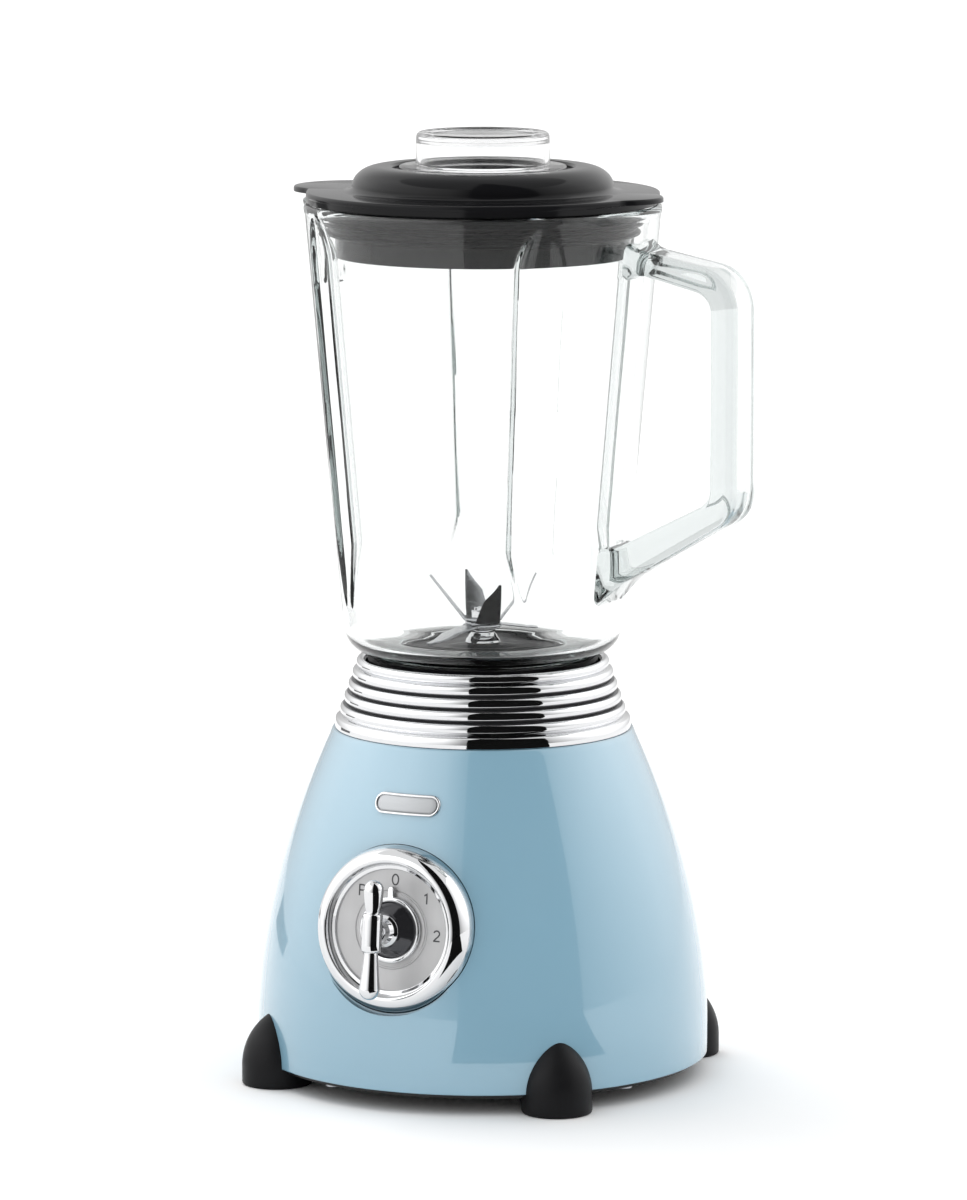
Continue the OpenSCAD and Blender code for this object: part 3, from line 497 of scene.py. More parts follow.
piece("badge_plate", mesh_of("badge", [badge_data(
    [(4.15, 0.03), (4.15, 0.55), (4.05, 0.85), (3.85, 1.02), (3.62, 1.08), (3.38, 1.02), (3.2, 0.85), (3.12, 0.55), (3.05, 0.30), (0.0, 0.30)],
    [(3.0, 0.03), (0.0, 0.03)])], sharp=50, merge=2e-6), "root", ["badge"], "chrome")
piece("badge_field", mesh_of("badge_field", [badge_data(
    [(3.0, 0.32), (2.98, 0.46), (2.9, 0.53), (2.4, 0.58), (1.4, 0.62), (0.6, 0.64), (0.0, 0.645)], [(2.9, 0.32), (0.0, 0.32)])],
    sharp=50, merge=2e-6), "root", [], "chrome", mat="badge_satin")

# ------------------------------------------------------------------ dial
crest = [(28.4 + 6.2 * math.cos(a * D2R), -6.0 + 10.6 * math.sin(a * D2R)) for a in range(0, 91, 5)]
prof = fillet([(32.4, -10), (34.6, -10)] + crest + [(27.55, 4.15, 0.9), (26.8, 2.6, 0.8), (26.4, 1.2, 0.25),
               (25.0, 1.0, 0.3), (24.6, 0.03), (26.2, 0.03), (26.2, -1.35), (24, -1.35), (24, -3.2), (32.4, -3.2)], n=6)
piece("bezel", mesh_of("bezel", [lathe_data(prof, 192)], sharp=45, matrix=DIAL), "root", ["dial_bezel"], "chrome")
prof = fillet([(3.3, -1.3), (26.1, -1.3), (26.1, 0.0), (16.3, 0.0, 0.1), (15.9, -0.35, 0.1), (15.4, -0.35, 0.1), (15.1, 0.0, 0.1), (3.3, 0.0)], n=3)
piece("plate", mesh_of("plate", [lathe_data(prof, 160)], sharp=40, matrix=DIAL), "root", ["dial_plate"], "dial_silver")


def ribbon(path, width, z0, z1, closed=False):
    """A flat stroke along a path on the dial's face."""
    n = len(path)
    verts, faces = [], []
    for i, (x, y) in enumerate(path):
        a = path[(i - 1) % n] if closed or i > 0 else path[0]
        b = path[(i + 1) % n] if closed or i < n - 1 else path[-1]
        t = Vector((b[0] - a[0], b[1] - a[1]))
        t.normalize()
        nx, ny = -t.y * width / 2, t.x * width / 2
        for s, z in ((1, z0), (1, z1), (-1, z1), (-1, z0)):
            verts.append((x + s * nx, y + s * ny, z))
    last = n if closed else n - 1
    for i in range(last):
        k = (i + 1) % n
        for c in range(4):
            d = (c + 1) % 4
            faces.append([4 * i + c, 4 * i + d, 4 * k + d, 4 * k + c])
    if not closed:
        faces.append([0, 1, 2, 3])
        faces.append([4 * n - 1, 4 * n - 2, 4 * n - 3, 4 * n - 4])
    return verts, faces


def arc_pts(cx, cy, rx, ry, a0, a1, n):
    return [(cx + rx * math.cos((a0 + (a1 - a0) * i / n) * D2R), cy + ry * math.sin((a0 + (a1 - a0) * i / n) * D2R)) for i in range(n + 1)]


def glyph(kind, cx, cy, h, w):
    """The marks of the dial: 0, 1, 2 and the pulse mark P, drawn as flat strokes."""
    strokes = []
    if kind == "0":
        strokes.append((arc_pts(0, 0, 0.30 * h, 0.46 * h, 0, 345, 23), True))
    elif kind == "1":
        strokes.append(([(-0.20 * h, 0.24 * h), (-0.06 * h, 0.33 * h), (0.05 * h, 0.46 * h), (0.05 * h, 0.2 * h), (0.05 * h, -0.5 * h)], False))
    elif kind == "2":
        strokes.append((arc_pts(0, 0.20 * h, 0.27 * h, 0.26 * h, 165, -20, 14) + [(0.13 * h, -0.06 * h), (-0.12 * h, -0.28 * h), (-0.27 * h, -0.46 * h)], False))
        strokes.append(([(-0.32 * h, -0.46 * h), (0.30 * h, -0.46 * h)], False))
    else:
        strokes.append(([(-0.26 * h, 0.5 * h), (-0.26 * h, -0.5 * h)], False))
        strokes.append(([(-0.26 * h, 0.46 * h), (0.02 * h, 0.46 * h)] + arc_pts(0.05 * h, 0.22 * h, 0.25 * h, 0.24 * h, 85, -85, 12) + [(-0.26 * h, -0.02 * h)], False))
    return [ribbon([(cx + x, cy + y) for x, y in path], w, -0.03, 0.07, closed) for path, closed in strokes]


marks = []
for kind, ang in (("P", -42.5), ("0", 2.5), ("1", 47.5), ("2", 92.5)):
    a = ang * D2R
    marks += glyph(kind, 20.6 * math.sin(a), 20.6 * math.cos(a), 4.6, 0.62)
piece("dial_marks", mesh_of("dial_marks", marks, sharp=30, matrix=DIAL, smooth=False), "root", [], "dial_silver", mat="dial_ink")

# knob: dark cone in a bright rim with a pointer nub, a stem and the T lever
prof = fillet([(3.1, 0.6), (11.35, 0.6), (11.35, 1.3, 0.2), (10.3, 2.2, 1.0), (7.1, 5.6, 1.2), (5.6, 6.4, 0.4), (3.1, 6.4)], n=5)
piece("knob_cone", mesh_of("knob_cone", [lathe_data(prof, 96)], sharp=45, matrix=DIAL), "knob", ["knob_disc"], "chrome_dark")
prof = fillet([(11.42, 0.6), (13.6, 0.6, 0.15), (13.75, 1.2, 0.5), (13.2, 2.1, 0.6), (12.4, 2.3, 0.5), (11.6, 1.9, 0.3), (11.42, 1.4)], n=5)
rim = obj_of("knob_ring", mesh_of("knob_ring", [lathe_data(prof, 128)], sharp=45, matrix=DIAL))
nub = [(-1.4, 12.6), (1.4, 12.6), (1.4, 16.0)] + arc_pts(0, 16.2, 1.4, 1.5, 0, 180, 14)[1:-1] + [(-1.4, 16.0)]
nv, nf = [], []
for z, inset in ((0.6, 0.0), (1.7, 0.0), (1.95, 0.12), (2.05, 0.35)):
    for x, y in nub:
        cxn, cyn = 0, 14.6
        s = 1 - inset / 1.4
        nv.append((x * s, cyn + (y - cyn) * (1 - inset / 3.0), z))
m = len(nub)
for k in range(3):
    for j in range(m):
        l = (j + 1) % m
        nf.append([k * m + j, k * m + l, (k + 1) * m + l, (k + 1) * m + j])
nf.append(list(range(m))[::-1])
nf.append([3 * m + j for j in range(m)])
nub_o = obj_of("nub", mesh_of("nub", [(nv, nf)], sharp=50, matrix=DIAL))
boolean(rim, [nub_o], "UNION", sharp=40)
piece("knob_ring", rim, "knob", ["knob_rim"], "chrome")
prof = fillet([(0, 6.45), (6.5, 6.45, 0.3), (6.6, 7.3, 0.5), (5.4, 8.6, 1.5), (4.4, 10.6, 2.0), (3.8, 13.0, 2.0), (3.7, 14.45), (0, 14.45)], n=6)
piece("knob_neck", mesh_of("knob_neck", [lathe_data(prof, 64)], sharp=45, matrix=DIAL), "knob", ["knob_stem"], "chrome")

lever = [(0, -27.3)]
for i in range(1, 15):
    a = (-90 + 92 * i / 14) * D2R
    lever.append((4.2 * math.cos(a), -27.3 + 4.2 + 4.2 * math.sin(a)))
lever += [(4.16, -22.6), (4.02, -21.0), (3.62, -17.0), (3.20, -12.6), (2.92, -9.4), (2.84, -8.3), (2.86, -8.0), (3.3, -7.85), (3.75, -7.62), (4.02, -7.25), (4.12, -6.8),
          (4.15, -5.0), (4.15, 5.0), (4.12, 6.8), (4.02, 7.25), (3.75, 7.62), (3.3, 7.85), (2.92, 8.0), (2.9, 8.3), (3.08, 9.2), (3.4, 10.8), (3.74, 12.8),
          (3.95, 14.8), (4.06, 16.2), (4.1, 17.4)]
for i in range(1, 12):
    a = (0 + 90 * i / 12) * D2R
    lever.append((4.1 * math.cos(a), 17.4 + 4.1 * math.sin(a)))
lever.append((0, 21.5))
# turned about its own long axis, which lies along the dial's local y at 17.7 mm in front of the plate
to_lever = DIAL @ Matrix.Translation((0, 0, 17.7)) @ Matrix.Rotation(-math.pi / 2, 4, "X")
lev = obj_of("lever", mesh_of("lever", [lathe_data(lever, 72)], sharp=45, matrix=to_lever))
stub = obj_of("stub", mesh_of("stub", [lathe_data(fillet([(0, 14.55), (3.75, 14.55), (3.9, 15.6, 1), (3.2, 17.0), (0, 17.0)]), 48)], sharp=45, matrix=DIAL))
boolean(lev, [stub], "UNION", sharp=45)
piece("t_lever", lev, "knob", ["knob_lever"], "chrome")

# ------------------------------------------------------------------ glass jug with its cast handle
FLUTES = [-45.0, 45.0, 135.0, -135.0]            # degrees from -Y towards +X
FLUTE_RAD, FLUTE_D = 11.0, 5.6
FLUTE_Z0, FLUTE_Z1 = 200.0, 358.6                # where the flutes have run out
FLUTE_ARCH, FLUTE_FADE = 24.0, 50.0              # the pointed arch at the top, the long fade at the bottom
SPOUT_AZ = 270.0


def flute_radius(z, grow):
    edge = 1 - (FLUTE_RAD - FLUTE_D) / FLUTE_RAD           # how much the radius loses before the flute is gone
    top = FLUTE_Z1 - FLUTE_ARCH * edge ** (1 / 1.7)
    low = FLUTE_Z0 + FLUTE_FADE * edge
    if z > top:
        k = 1 - ((z - top) / FLUTE_ARCH) ** 1.7
    elif z < low:
        k = 1 - (low - z) / FLUTE_FADE
    else:
        k = 1.0
    return max(0.0, FLUTE_RAD * k) + grow


def flute_dip(az, z, wall, grow):
    """How far the flute's channel cuts in behind a wall of this radius, at this azimuth."""
    axis = jug_wall(z) + FLUTE_RAD - FLUTE_D
    rad = flute_radius(z, grow)
    best = 0.0
    if rad - grow <= 0:
        return 0.0
    for f in FLUTES:
        d = abs((az - f + 180) % 360 - 180) * D2R
        if d > 0.45:
            continue
        s = rad * rad - (axis * math.sin(d)) ** 2
        if s > 0:
            near = axis * math.cos(d) - math.sqrt(s)
            best = max(best, smax(wall - near, 0.0, 0.9))
    return best


def spout_reach(az, z, off):
    if z < 329:
        return 0.0
    d = ((az - SPOUT_AZ + 180) % 360 - 180) * D2R
    if abs(d) > 0.6:
        return 0.0
    pts = [(328, 8.0 - off * 0.3), (358, 17.6 - off), (362.3, 18.6 - off), (363.3, 18.2 - off)]
    for (z0, r0), (z1, r1) in zip(pts, pts[1:]):
        if z <= z1:
            r = r0 + (r1 - r0) * (z - z0) / (z1 - z0)
            break
    else:
        r = pts[-1][1]
    s = r * r - (62 * math.sin(d)) ** 2
    if s <= 0:
        return 0.0
    return 62 * math.cos(d) + math.sqrt(s)


OUT_LOW = [(41.0, 158.6), (41.0, 163.0), (41.0, 168.0), (41.0, 173.0), (41.3, 174.6), (42.2, 175.6), (43.8, 176.1), (46.0, 176.4), (48.2, 176.8), (50.0, 177.3), (51.6, 178.0), (53.2, 179.0),
           (54.6, 180.3), (55.8, 181.8), (56.7, 183.5), (57.35, 185.4), (57.8, 187.4), (58.1, 189.5)]
IN_LOW = [(55.07, 195.0), (54.82, 192.2), (54.6, 189.6)] + \
    [(47.55 + 6.95 * math.cos(a * D2R), 188.0 - 6.95 * math.sin(a * D2R)) for a in (8, 18, 28, 38, 48, 58, 68, 78, 90)] + \
    [(44.0, 181.0), (41.0, 181.0), (38.4, 181.0), (35.6, 181.0), (34.4, 180.8), (33.7, 180.2), (33.4, 179.4), (33.4, 172.0), (33.4, 165.0), (33.4, 158.6)]


def azimuths():
    out = []
    step = 3.0
    a = -180.0
    marks_ = []
    for f in FLUTES:
        for i in range(-18, 19):
            marks_.append((f + i * 0.72) % 360)
    for i in range(-12, 13):
        marks_.append((SPOUT_AZ + i * 1.6) % 360)
    for i in range(120):
        marks_.append((a + i * step) % 360)
    marks_.sort()
    for m_ in marks_:
        if not out or m_ - out[-1] > 0.55:
            out.append(m_)
    if out[0] + 360 - out[-1] < 0.55:
        out.pop()
    return out


def jug_data():
    az = azimuths()
    rows = []                                     # (kind, radius, z)
    rows += [("fix", r, z) for r, z in OUT_LOW]
    z_out = [191.7 + (195.7 - 191.7) * i / 4 for i in range(4)] + [195.7 + (232 - 195.7) * i / 22 for i in range(22)] + \
            [232 + (322 - 232) * i / 22 for i in range(22)] + [322 + (359.0 - 322) * i / 26 for i in range(27)]
    rows += [("out", 0.0, z) for z in z_out]
    rows += [("rim", 0.25, 359.7), ("rim", 0.40, 360.4), ("rim", 0.45, 361.2), ("rim", 0.42, 361.9), ("rim", 0.25, 362.5), ("rim", -0.10, 362.95),
             ("rim", -0.65, 363.2), ("rim", -1.5, 363.2), ("rim", -2.1, 363.05), ("rim", -2.6, 362.6), ("rim", -2.95, 361.9), ("rim", -3.25, 360.9)]
    z_in = [359.6 - (359.6 - 322) * i / 26 for i in range(26)] + [322 - (322 - 232) * i / 22 for i in range(22)] + \
           [232 - (232 - 197.0) * i / 20 for i in range(21)]
    rows += [("in", 0.0, z) for z in z_in]
    rows += [("fix2", r, z) for r, z in IN_LOW]
    verts, faces, idx = [], [], []
    for kind, r, z in rows:
        row = []
        for a in az:
            if kind in ("fix", "fix2"):
                rr = r
                if kind == "fix" and z > 186:
                    rr = r - flute_dip(a, z, r, 0.0)
                if kind == "fix2" and z > 188:
                    rr = r - flute_dip(a, z, r, GLASS_T)
            elif kind == "out":
                wall = jug_wall(z)
                rr = wall - flute_dip(a, z, wall, 0.0)
                sp = spout_reach(a, z, 0.0)
                if sp:
                    rr = smax(rr, sp, 1.6)
            elif kind == "rim":
                wall = jug_wall(min(z, 360.0)) + r
                sp = spout_reach(a, z, 0.0)
                rr = smax(wall, sp + r, 1.6) if sp else wall
            else:
                wall = jug_wall(z) - GLASS_T * 1.004
                rr = wall - flute_dip(a, z, wall, GLASS_T)
                sp = spout_reach(a, z, 3.4)
                if sp:
                    rr = smax(rr, sp, 1.6)
            row.append(len(verts))
            t = a * D2R
            verts.append((rr * math.sin(t), -rr * math.cos(t), z))
        idx.append(row)
    n, m_ = len(idx), len(az)
    for i in range(n):
        k = (i + 1) % n
        for j in range(m_):
            l = (j + 1) % m_
            faces.append([idx[i][j], idx[i][l], idx[k][l], idx[k][j]])
    return verts, faces


def handle_data():
    """The handle's strap, swept along its own path; both ends finish inside the thickness of the jug's wall."""
    def corner(a, b, c, r, n):
        return fillet([(*a, 0), (*b, r), (*c, 0)], n=n, closed=False)[1:-1]

    HX = 118.5
    o_a, o_b, o_c, o_d = (62, 349.8), (HX, 339.3), (HX, 240), (52, 200.8)
    i_a, i_b, i_c, i_d = (62, 341.4), (HX - 10.8, 330.1), (HX - 10.8, 246.3), (52, 218.2)
    oc1, ic1 = corner(o_a, o_b, o_c, 19, 18), corner(i_a, i_b, i_c, 9, 18)
    oc2, ic2 = corner(o_b, o_c, o_d, 16, 18), corner(i_b, i_c, i_d, 9, 18)

    def seg(p, q, n, skip_last=True):
        return [(p[0] + (q[0] - p[0]) * i / n, p[1] + (q[1] - p[1]) * i / n) for i in range(n if skip_last else n + 1)]

    outer_ = seg(o_a, oc1[0], 12) + oc1 + seg(oc1[-1], oc2[0], 12)[1:] + oc2 + seg(oc2[-1], o_d, 18, False)[1:]
    inner_ = seg(i_a, ic1[0], 12) + ic1 + seg(ic1[-1], ic2[0], 12)[1:] + ic2 + seg(ic2[-1], i_d, 18, False)[1:]
    n = len(outer_)
    assert n == len(inner_)
    verts, idx = [], []
    for s in range(n):
        o, i_ = Vector(outer_[s]), Vector(inner_[s])
        d = o - i_
        t = d.length
        d /= t
        xm = (o.x + i_.x) / 2
        zm = (o.y + i_.y) / 2
        wall = jug_wall(zm)
        near = max(0.0, 1 - (xm - wall) / 7.0) if xm > wall else 1.0     # 1 at the wall, 0 from 7 mm out
        flare = near * near * 2.2
        hw = 13.0 + flare
        if s < n / 2:
            t2a, t2b = flare * 0.9, flare * 1.6
        else:
            t2a, t2b = flare * 1.0, flare * 1.4
        # section: y across, v from the inner face (0) to the outer face (t)
        sec = fillet([(-hw, -t2b, 1.8), (hw, -t2b, 1.8), (hw, t + t2a, 4.6), (-hw, t + t2a, 4.6)], n=6)
        row = []
        for y, v in sec:
            p = i_ + d * v
            row.append(len(verts))
            verts.append([p.x, y, p.y])
        idx.append(row)
    # end stations land on a cylinder inside the glass wall
    for s in (0, n - 1):
        for k in idx[s]:
            x, y, z = verts[k]
            rw = jug_wall(z) - 1.7
            verts[k][0] = math.sqrt(rw * rw - y * y)
    # stations between the end and the wall's outer face are dropped
    keep = []
    for s in range(n):
        if s in (0, n - 1):
            keep.append(s)
            continue
        if all(verts[k][0] > math.sqrt((jug_wall(verts[k][2]) - 1.2) ** 2 - verts[k][1] ** 2) for k in idx[s]):
            keep.append(s)
    idx = [idx[s] for s in keep]
    faces = []
    m_ = len(idx[0])
    for s in range(len(idx) - 1):
        for j in range(m_):
            l = (j + 1) % m_
            faces.append([idx[s][j], idx[s][l], idx[s + 1][l], idx[s + 1][j]])
    # the caps are fans about a point that also lies on that cylinder
    for row, flip in ((idx[0], False), (idx[-1], True)):
        cz = sum(verts[k][2] for k in row) / len(row)
        c = len(verts)
        verts.append([jug_wall(cz) - 1.7, 0.0, cz])
        # a ring half way in keeps the cap curved with the wall
        ring = []
        for k in row:
            x, y, z = verts[k]
            yy, zz = y * 0.5, cz + (z - cz) * 0.5
            ring.append(len(verts))
            verts.append([math.sqrt((jug_wall(zz) - 1.7) ** 2 - yy * yy), yy, zz])
        for j in range(m_):
            l = (j + 1) % m_
            faces.append([row[j], row[l], ring[l], ring[j]])
            faces.append([ring[j], ring[l], c])
    return verts, faces


jug = obj_of("jug", mesh_of("jug", [jug_data()], sharp=60, merge=1e-6))
handle = obj_of("handle", mesh_of("handle", [handle_data()], sharp=60))
boolean(jug, [handle], "UNION", sharp=38)
piece("jug_with_handle", jug, "jug", ["glass_jug", "jug_handle"], "glass")

# black screw collar and blade carrier under the glass
prof = fillet([(30, 148.4), (47.2, 148.4, 0.5), (47.9, 149.4, 0.5), (47.9, 174.0, 0.8), (47.0, 175.3, 0.5), (42.6, 175.3, 0.3), (41.6, 174.2), (41.3, 153), (30, 153)], n=4)
piece("jug_collar", mesh_of("jug_collar", [lathe_data(prof, 128)], sharp=40), "jug", ["jug_base_collar"], "black_plastic", mat="carrier_black")
prof = fillet([(5.02, 163.3), (19, 163.3), (19, 156), (19, 153.1), (26, 153.1), (40.7, 153.1, 0.4), (40.7, 156.5, 0.4), (33.0, 156.5), (33.0, 179.4, 0.9),
               (32.0, 180.9, 0.6), (30.2, 180.9, 0.3), (29.6, 180.3, 0.3), (24.0, 180.2, 0.3), (23.2, 180.7, 0.4), (15.0, 180.5, 0.4), (11.0, 181.2, 0.8), (9.0, 181.4, 0.5), (5.02, 181.4)], n=4)
piece("blade_carrier", mesh_of("blade_carrier", [lathe_data(prof, 128)], sharp=40), "jug", ["blade_housing"], "black_plastic", mat="carrier_black")

# ------------------------------------------------------------------ blades
prof = fillet([(3.0, 181.75), (7.0, 181.75, 0.2), (7.35, 182.3, 0.3), (6.9, 183.2, 0.5), (5.3, 184.2, 0.8), (4.75, 185.2, 1.0), (5.4, 186.3, 0.8), (7.2, 186.8, 0.3),
               (7.45, 187.3, 0.2), (3.0, 187.35)], n=5)
piece("blade_boss", mesh_of("blade_boss", [lathe_data(prof, 72)], sharp=45), "blades", ["blade_hub"], "chrome")


def blade_arm(ang, z, length, w0, w1, bend, sweep=0.0, tip_cut=0.35, thick=1.0, hook=None):
    """One arm of a stamped plate: flat root, a bend of small radius, then a blade ground to an edge on one side."""
    stations = []
    r_b = 1.6
    b = bend * D2R
    for i in range(4):
        stations.append((3.3 + (6.6 - 3.3) * i / 3, 0.0, 0.0))
    nb = 5
    for i in range(1, nb + 1):
        t = b * i / nb
        s = abs(b) and r_b * math.sin(abs(t))
        zz = r_b * (1 - math.cos(t)) * (1 if b > 0 else -1)
        stations.append((6.6 + s, zz, t))
    x0, z0_, t0 = stations[-1]
    for i in range(1, 13):
        d = length * i / 12
        stations.append((x0 + d * math.cos(t0), z0_ + d * math.sin(t0), t0))
    verts, idx = [], []
    total = len(stations)
    for k, (x, zz, t) in enumerate(stations):
        f = max(0.0, (k - 3) / (total - 4))
        hw = (w0 + (w1 - w0) * f ** 1.1) / 2
        shift = sweep * f * f
        lo, hi = -hw + shift, hw + shift
        if f > 0.72:
            g = (f - 0.72) / 0.28
            lo += (hi - lo) * g * (1 - tip_cut) * 0.95
        edge = 0.12 if k > 7 else thick * 0.5
        ground = min(2.2, (hi - lo) * 0.45) if k > 7 else 0.25
        sec = [(lo, -edge / 2 + 0.0), (lo + ground, -thick / 2), (hi - 0.12, -thick / 2), (hi, -thick / 2 + 0.15), (hi, thick / 2 - 0.15),
               (hi - 0.12, thick / 2), (lo + ground, thick / 2), (lo, edge / 2)]
        row = []
        for y, h in sec:
            px = x - math.sin(t) * h
            pz = zz + math.cos(t) * h
            row.append(len(verts))
            verts.append((px, y, z + thick / 2 + pz))
        idx.append(row)
    faces = []
    m_ = len(idx[0])
    for s in range(total - 1):
        for j in range(m_):
            l = (j + 1) % m_
            faces.append([idx[s][j], idx[s][l], idx[s + 1][l], idx[s + 1][j]])
    faces.append(idx[0][::-1])
    faces.append(idx[-1])
    rot = Matrix.Rotation(ang * D2R, 4, "Z")
    return [tuple(rot @ Vector(v)) for v in verts], faces


def blade_piece(name, node, z, ang, length, w0, w1, bend, sweep, tip_cut):
    o = obj_of(name, mesh_of(name, [lathe_data(fillet([(3.02, z), (7.4, z, 0.1), (7.4, z + 1.0, 0.15), (3.02, z + 1.0)], n=3), 64)], sharp=35))
    arms = [obj_of("arm", mesh_of("arm", [blade_arm(ang + k, z, length, w0, w1, bend, sweep, tip_cut)], sharp=25)) for k in (0, 180)]
    boolean(o, arms, "UNION", sharp=25)
    return piece(name, o, "blades", [node], "blade_steel")


blade_piece("blade_flat", "blade_lower", 187.4, 64, 24.0, 10.0, 6.5, -10, 1.0, 0.5)
blade_piece("blade_mid", "blade_middle", 188.6, 130, 24.6, 12.5, 5.0, 47, -1.0, 0.2)
blade_piece("blade_high", "blade_upper", 190.2, 24, 22.6, 8.5, 4.0, 52, 1.0, 0.2)
prof6 = fillet([(3.0, 191.4), (5.6, 191.4, 0.2), (5.6, 193.8, 0.5), (4.4, 194.3, 0.4), (3.7, 194.4, 0.2), (3.5, 195.4, 0.4), (2.0, 195.75, 0.4), (0, 195.8), (0, 194.6), (3.0, 194.6)], n=4)


def hexed(profile, segs, flat, z_lo, z_hi):
    def rad(i, a):
        r, z = profile[i]
        if z_lo - 0.01 <= z <= z_hi and r > flat:
            s = (a % (math.pi / 3)) - math.pi / 6
            return min(r, flat / math.cos(s))
        return r
    return lathe_data(profile, segs, rad)


piece("blade_acorn_nut", mesh_of("blade_acorn_nut", [hexed(prof6, 72, 4.8, 191.4, 194.0)], sharp=35), "blades", ["blade_nut"], "chrome")

# ------------------------------------------------------------------ lid, seal and cap
def tab_reach(az, centre_az, dist, r):
    d = ((az - centre_az + 180) % 360 - 180) * D2R
    s = r * r - (dist * math.sin(d)) ** 2
    if abs(d) > 1.2 or s <= 0:
        return 0.0
    return dist * math.cos(d) + math.sqrt(s)


LID_PTS = [  # (r, z, fillet, follows the tabs)
    (61.0, 363.45, 0, 0), (72.3, 363.45, 0.3, 0), (72.7, 365.9, 0.2, 0), (72.9, 366.1, 0, 1), (72.9, 368.3, 0.9, 1), (58.4, 368.3, 0, 0), (56.9, 368.42, 0, 0), (55.7, 368.75, 0, 0),
    (54.75, 369.3, 0, 0)] + [(43 + 11 * math.cos(a * D2R), 370 + 8.6 * math.sin(a * D2R), 0, 0) for a in range(0, 91, 5)] + [(38.4, 378.6, 0.7, 0), (37.4, 377.6, 0.5, 0), (37.4, 376.3, 0.3, 0), (29.6, 376.3, 0.5, 0),
    (29.5, 356.0, 0.5, 0), (31.8, 356.0, 0.5, 0), (31.8, 373.3, 0.8, 0), (39, 375.2, 0.8, 0), (43, 375.2, 1.5, 0), (49, 371.6, 2, 0), (52, 366.6, 1, 0), (57.6, 364.8, 1, 0),
    (57.6, 343.0, 0.5, 0), (60.9, 342.0, 0.8, 0), (61.0, 342.4, 0, 0)]


def lid_data(segs=288):
    prof_, follow = [], []
    for k, (r, z, f, t) in enumerate(LID_PTS):
        pts = [(a[0], a[1], 0.0) for a in LID_PTS]
        pts[k] = (r, z, f)
        got = fillet([pts[k - 1], pts[k], pts[(k + 1) % len(pts)]], n=5, closed=False)[1:-1] if f > 0 else [(r, z)]
        for g in got:
            prof_.append(g)
            follow.append(t)

    def rad(i, a):
        r, z = prof_[i]
        if not follow[i]:
            return r
        az = 90 + a / D2R                                 # a runs from +X; azimuth from -Y
        reach = max(tab_reach(az, 270, 60.5, 24.0), tab_reach(az, 90, 59.0, 20.5))
        full = smax(72.9, reach, 1.6) if reach else 72.9
        return r + full - 72.9

    return lathe_data(prof_, segs, rad)


piece("lid_shell", mesh_of("lid_shell", [lid_data()], sharp=50, merge=2e-6), "lid", ["lid"], "gloss_black")
prof = fillet([(61.05, 350.4), (62.8, 350.4, 0.3), (64.9, 351.4, 0.3), (65.2, 352.4, 0.3), (63.2, 352.8, 0.4), (63.2, 354.2, 0.3), (66.0, 355.3, 0.3), (66.3, 356.3, 0.3),
               (63.2, 356.6, 0.4), (63.2, 358, 0.3), (66.9, 359.1, 0.3), (67.2, 360.1, 0.3), (63.2, 360.4, 0.4), (63.2, 363.2), (61.05, 363.2)], n=3)
piece("lid_gasket", mesh_of("lid_gasket", [lathe_data(prof, 160)], sharp=40), "lid", ["lid_seal"], "seal_silicone")

prof = fillet([(26.9, 362.0), (28.7, 362.0, 0.8), (28.7, 376.4, 0.2), (34.6, 376.4, 0.6), (34.7, 378.9, 1.2), (29.4, 379.0, 0.8), (27.7, 379.4, 0.9), (27.35, 392.6, 3.2),
               (23.4, 392.6, 1.6), (20.6, 391.7, 1.4), (0, 391.45), (0, 389.6), (25.6, 389.6, 2.0), (25.9, 378.0)], n=9)
piece("cap", mesh_of("cap", [lathe_data(prof, 160)], sharp=50), "cap", ["measuring_cap"], "clear_plastic")

# ------------------------------------------------------------------ cord inlet grommet
prof = fillet([(3.6, 87.3), (7.9, 87.3, 0.6), (7.9, 89.2, 0.4), (6.0, 89.3, 0.2), (6.0, 94.1, 0.2), (8.6, 94.1, 0.3), (8.6, 95.5, 1.0), (5.6, 96.0, 1.0), (3.6, 96.0, 0.5)], n=5)
piece("grommet", mesh_of("grommet", [lathe_data(prof, 72)], sharp=45, matrix=Matrix.Translation((0, 0, 24)) @ Matrix.Rotation(-math.pi / 2, 4, "X")),
      "root", ["cord_inlet"], "rubber")

# ------------------------------------------------------------------ stage, light and camera
def quad(name, size, at, normal, up=(0, 0, 1), mat=None, nx=1, ny=1):
    n = Vector(normal).normalized()
    u = Vector(up).cross(n)
    if u.length < 1e-6:
        u = Vector((1, 0, 0))
    u.normalize()
    v = n.cross(u)
    c = Vector(at)
    w, h = size[0] / 2, size[1] / 2
    me = bpy.data.meshes.new(name)
    me.from_pydata([c - u * w - v * h, c + u * w - v * h, c + u * w + v * h, c - u * w + v * h], [], [(0, 1, 2, 3)])
    o = obj_of(name, me)
    if mat:
        me.materials.append(mat)
    return o


floor = quad("floor", (60, 60), (0, 0, 0), (0, 0, 1), up=(0, 1, 0), mat=MATS["floor_paper"])

dark = bpy.data.materials.new("flag_cloth")
dark.use_nodes = True
dark.node_tree.nodes["Principled BSDF"].inputs["Base Color"].default_value = (0.006, 0.006, 0.006, 1)
dark.node_tree.nodes["Principled BSDF"].inputs["Roughness"].default_value = 1.0
dark.node_tree.nodes["Principled BSDF"].inputs["Specular IOR Level"].default_value = 0.0


def hide_from(o, glossy=True, through=False):
    """Stage pieces that only gloss and glass can see."""
    o.visible_camera = False
    o.visible_shadow = False
    o.visible_diffuse = False
    o.visible_volume_scatter = False
    o.visible_glossy = glossy
    o.visible_transmission = through


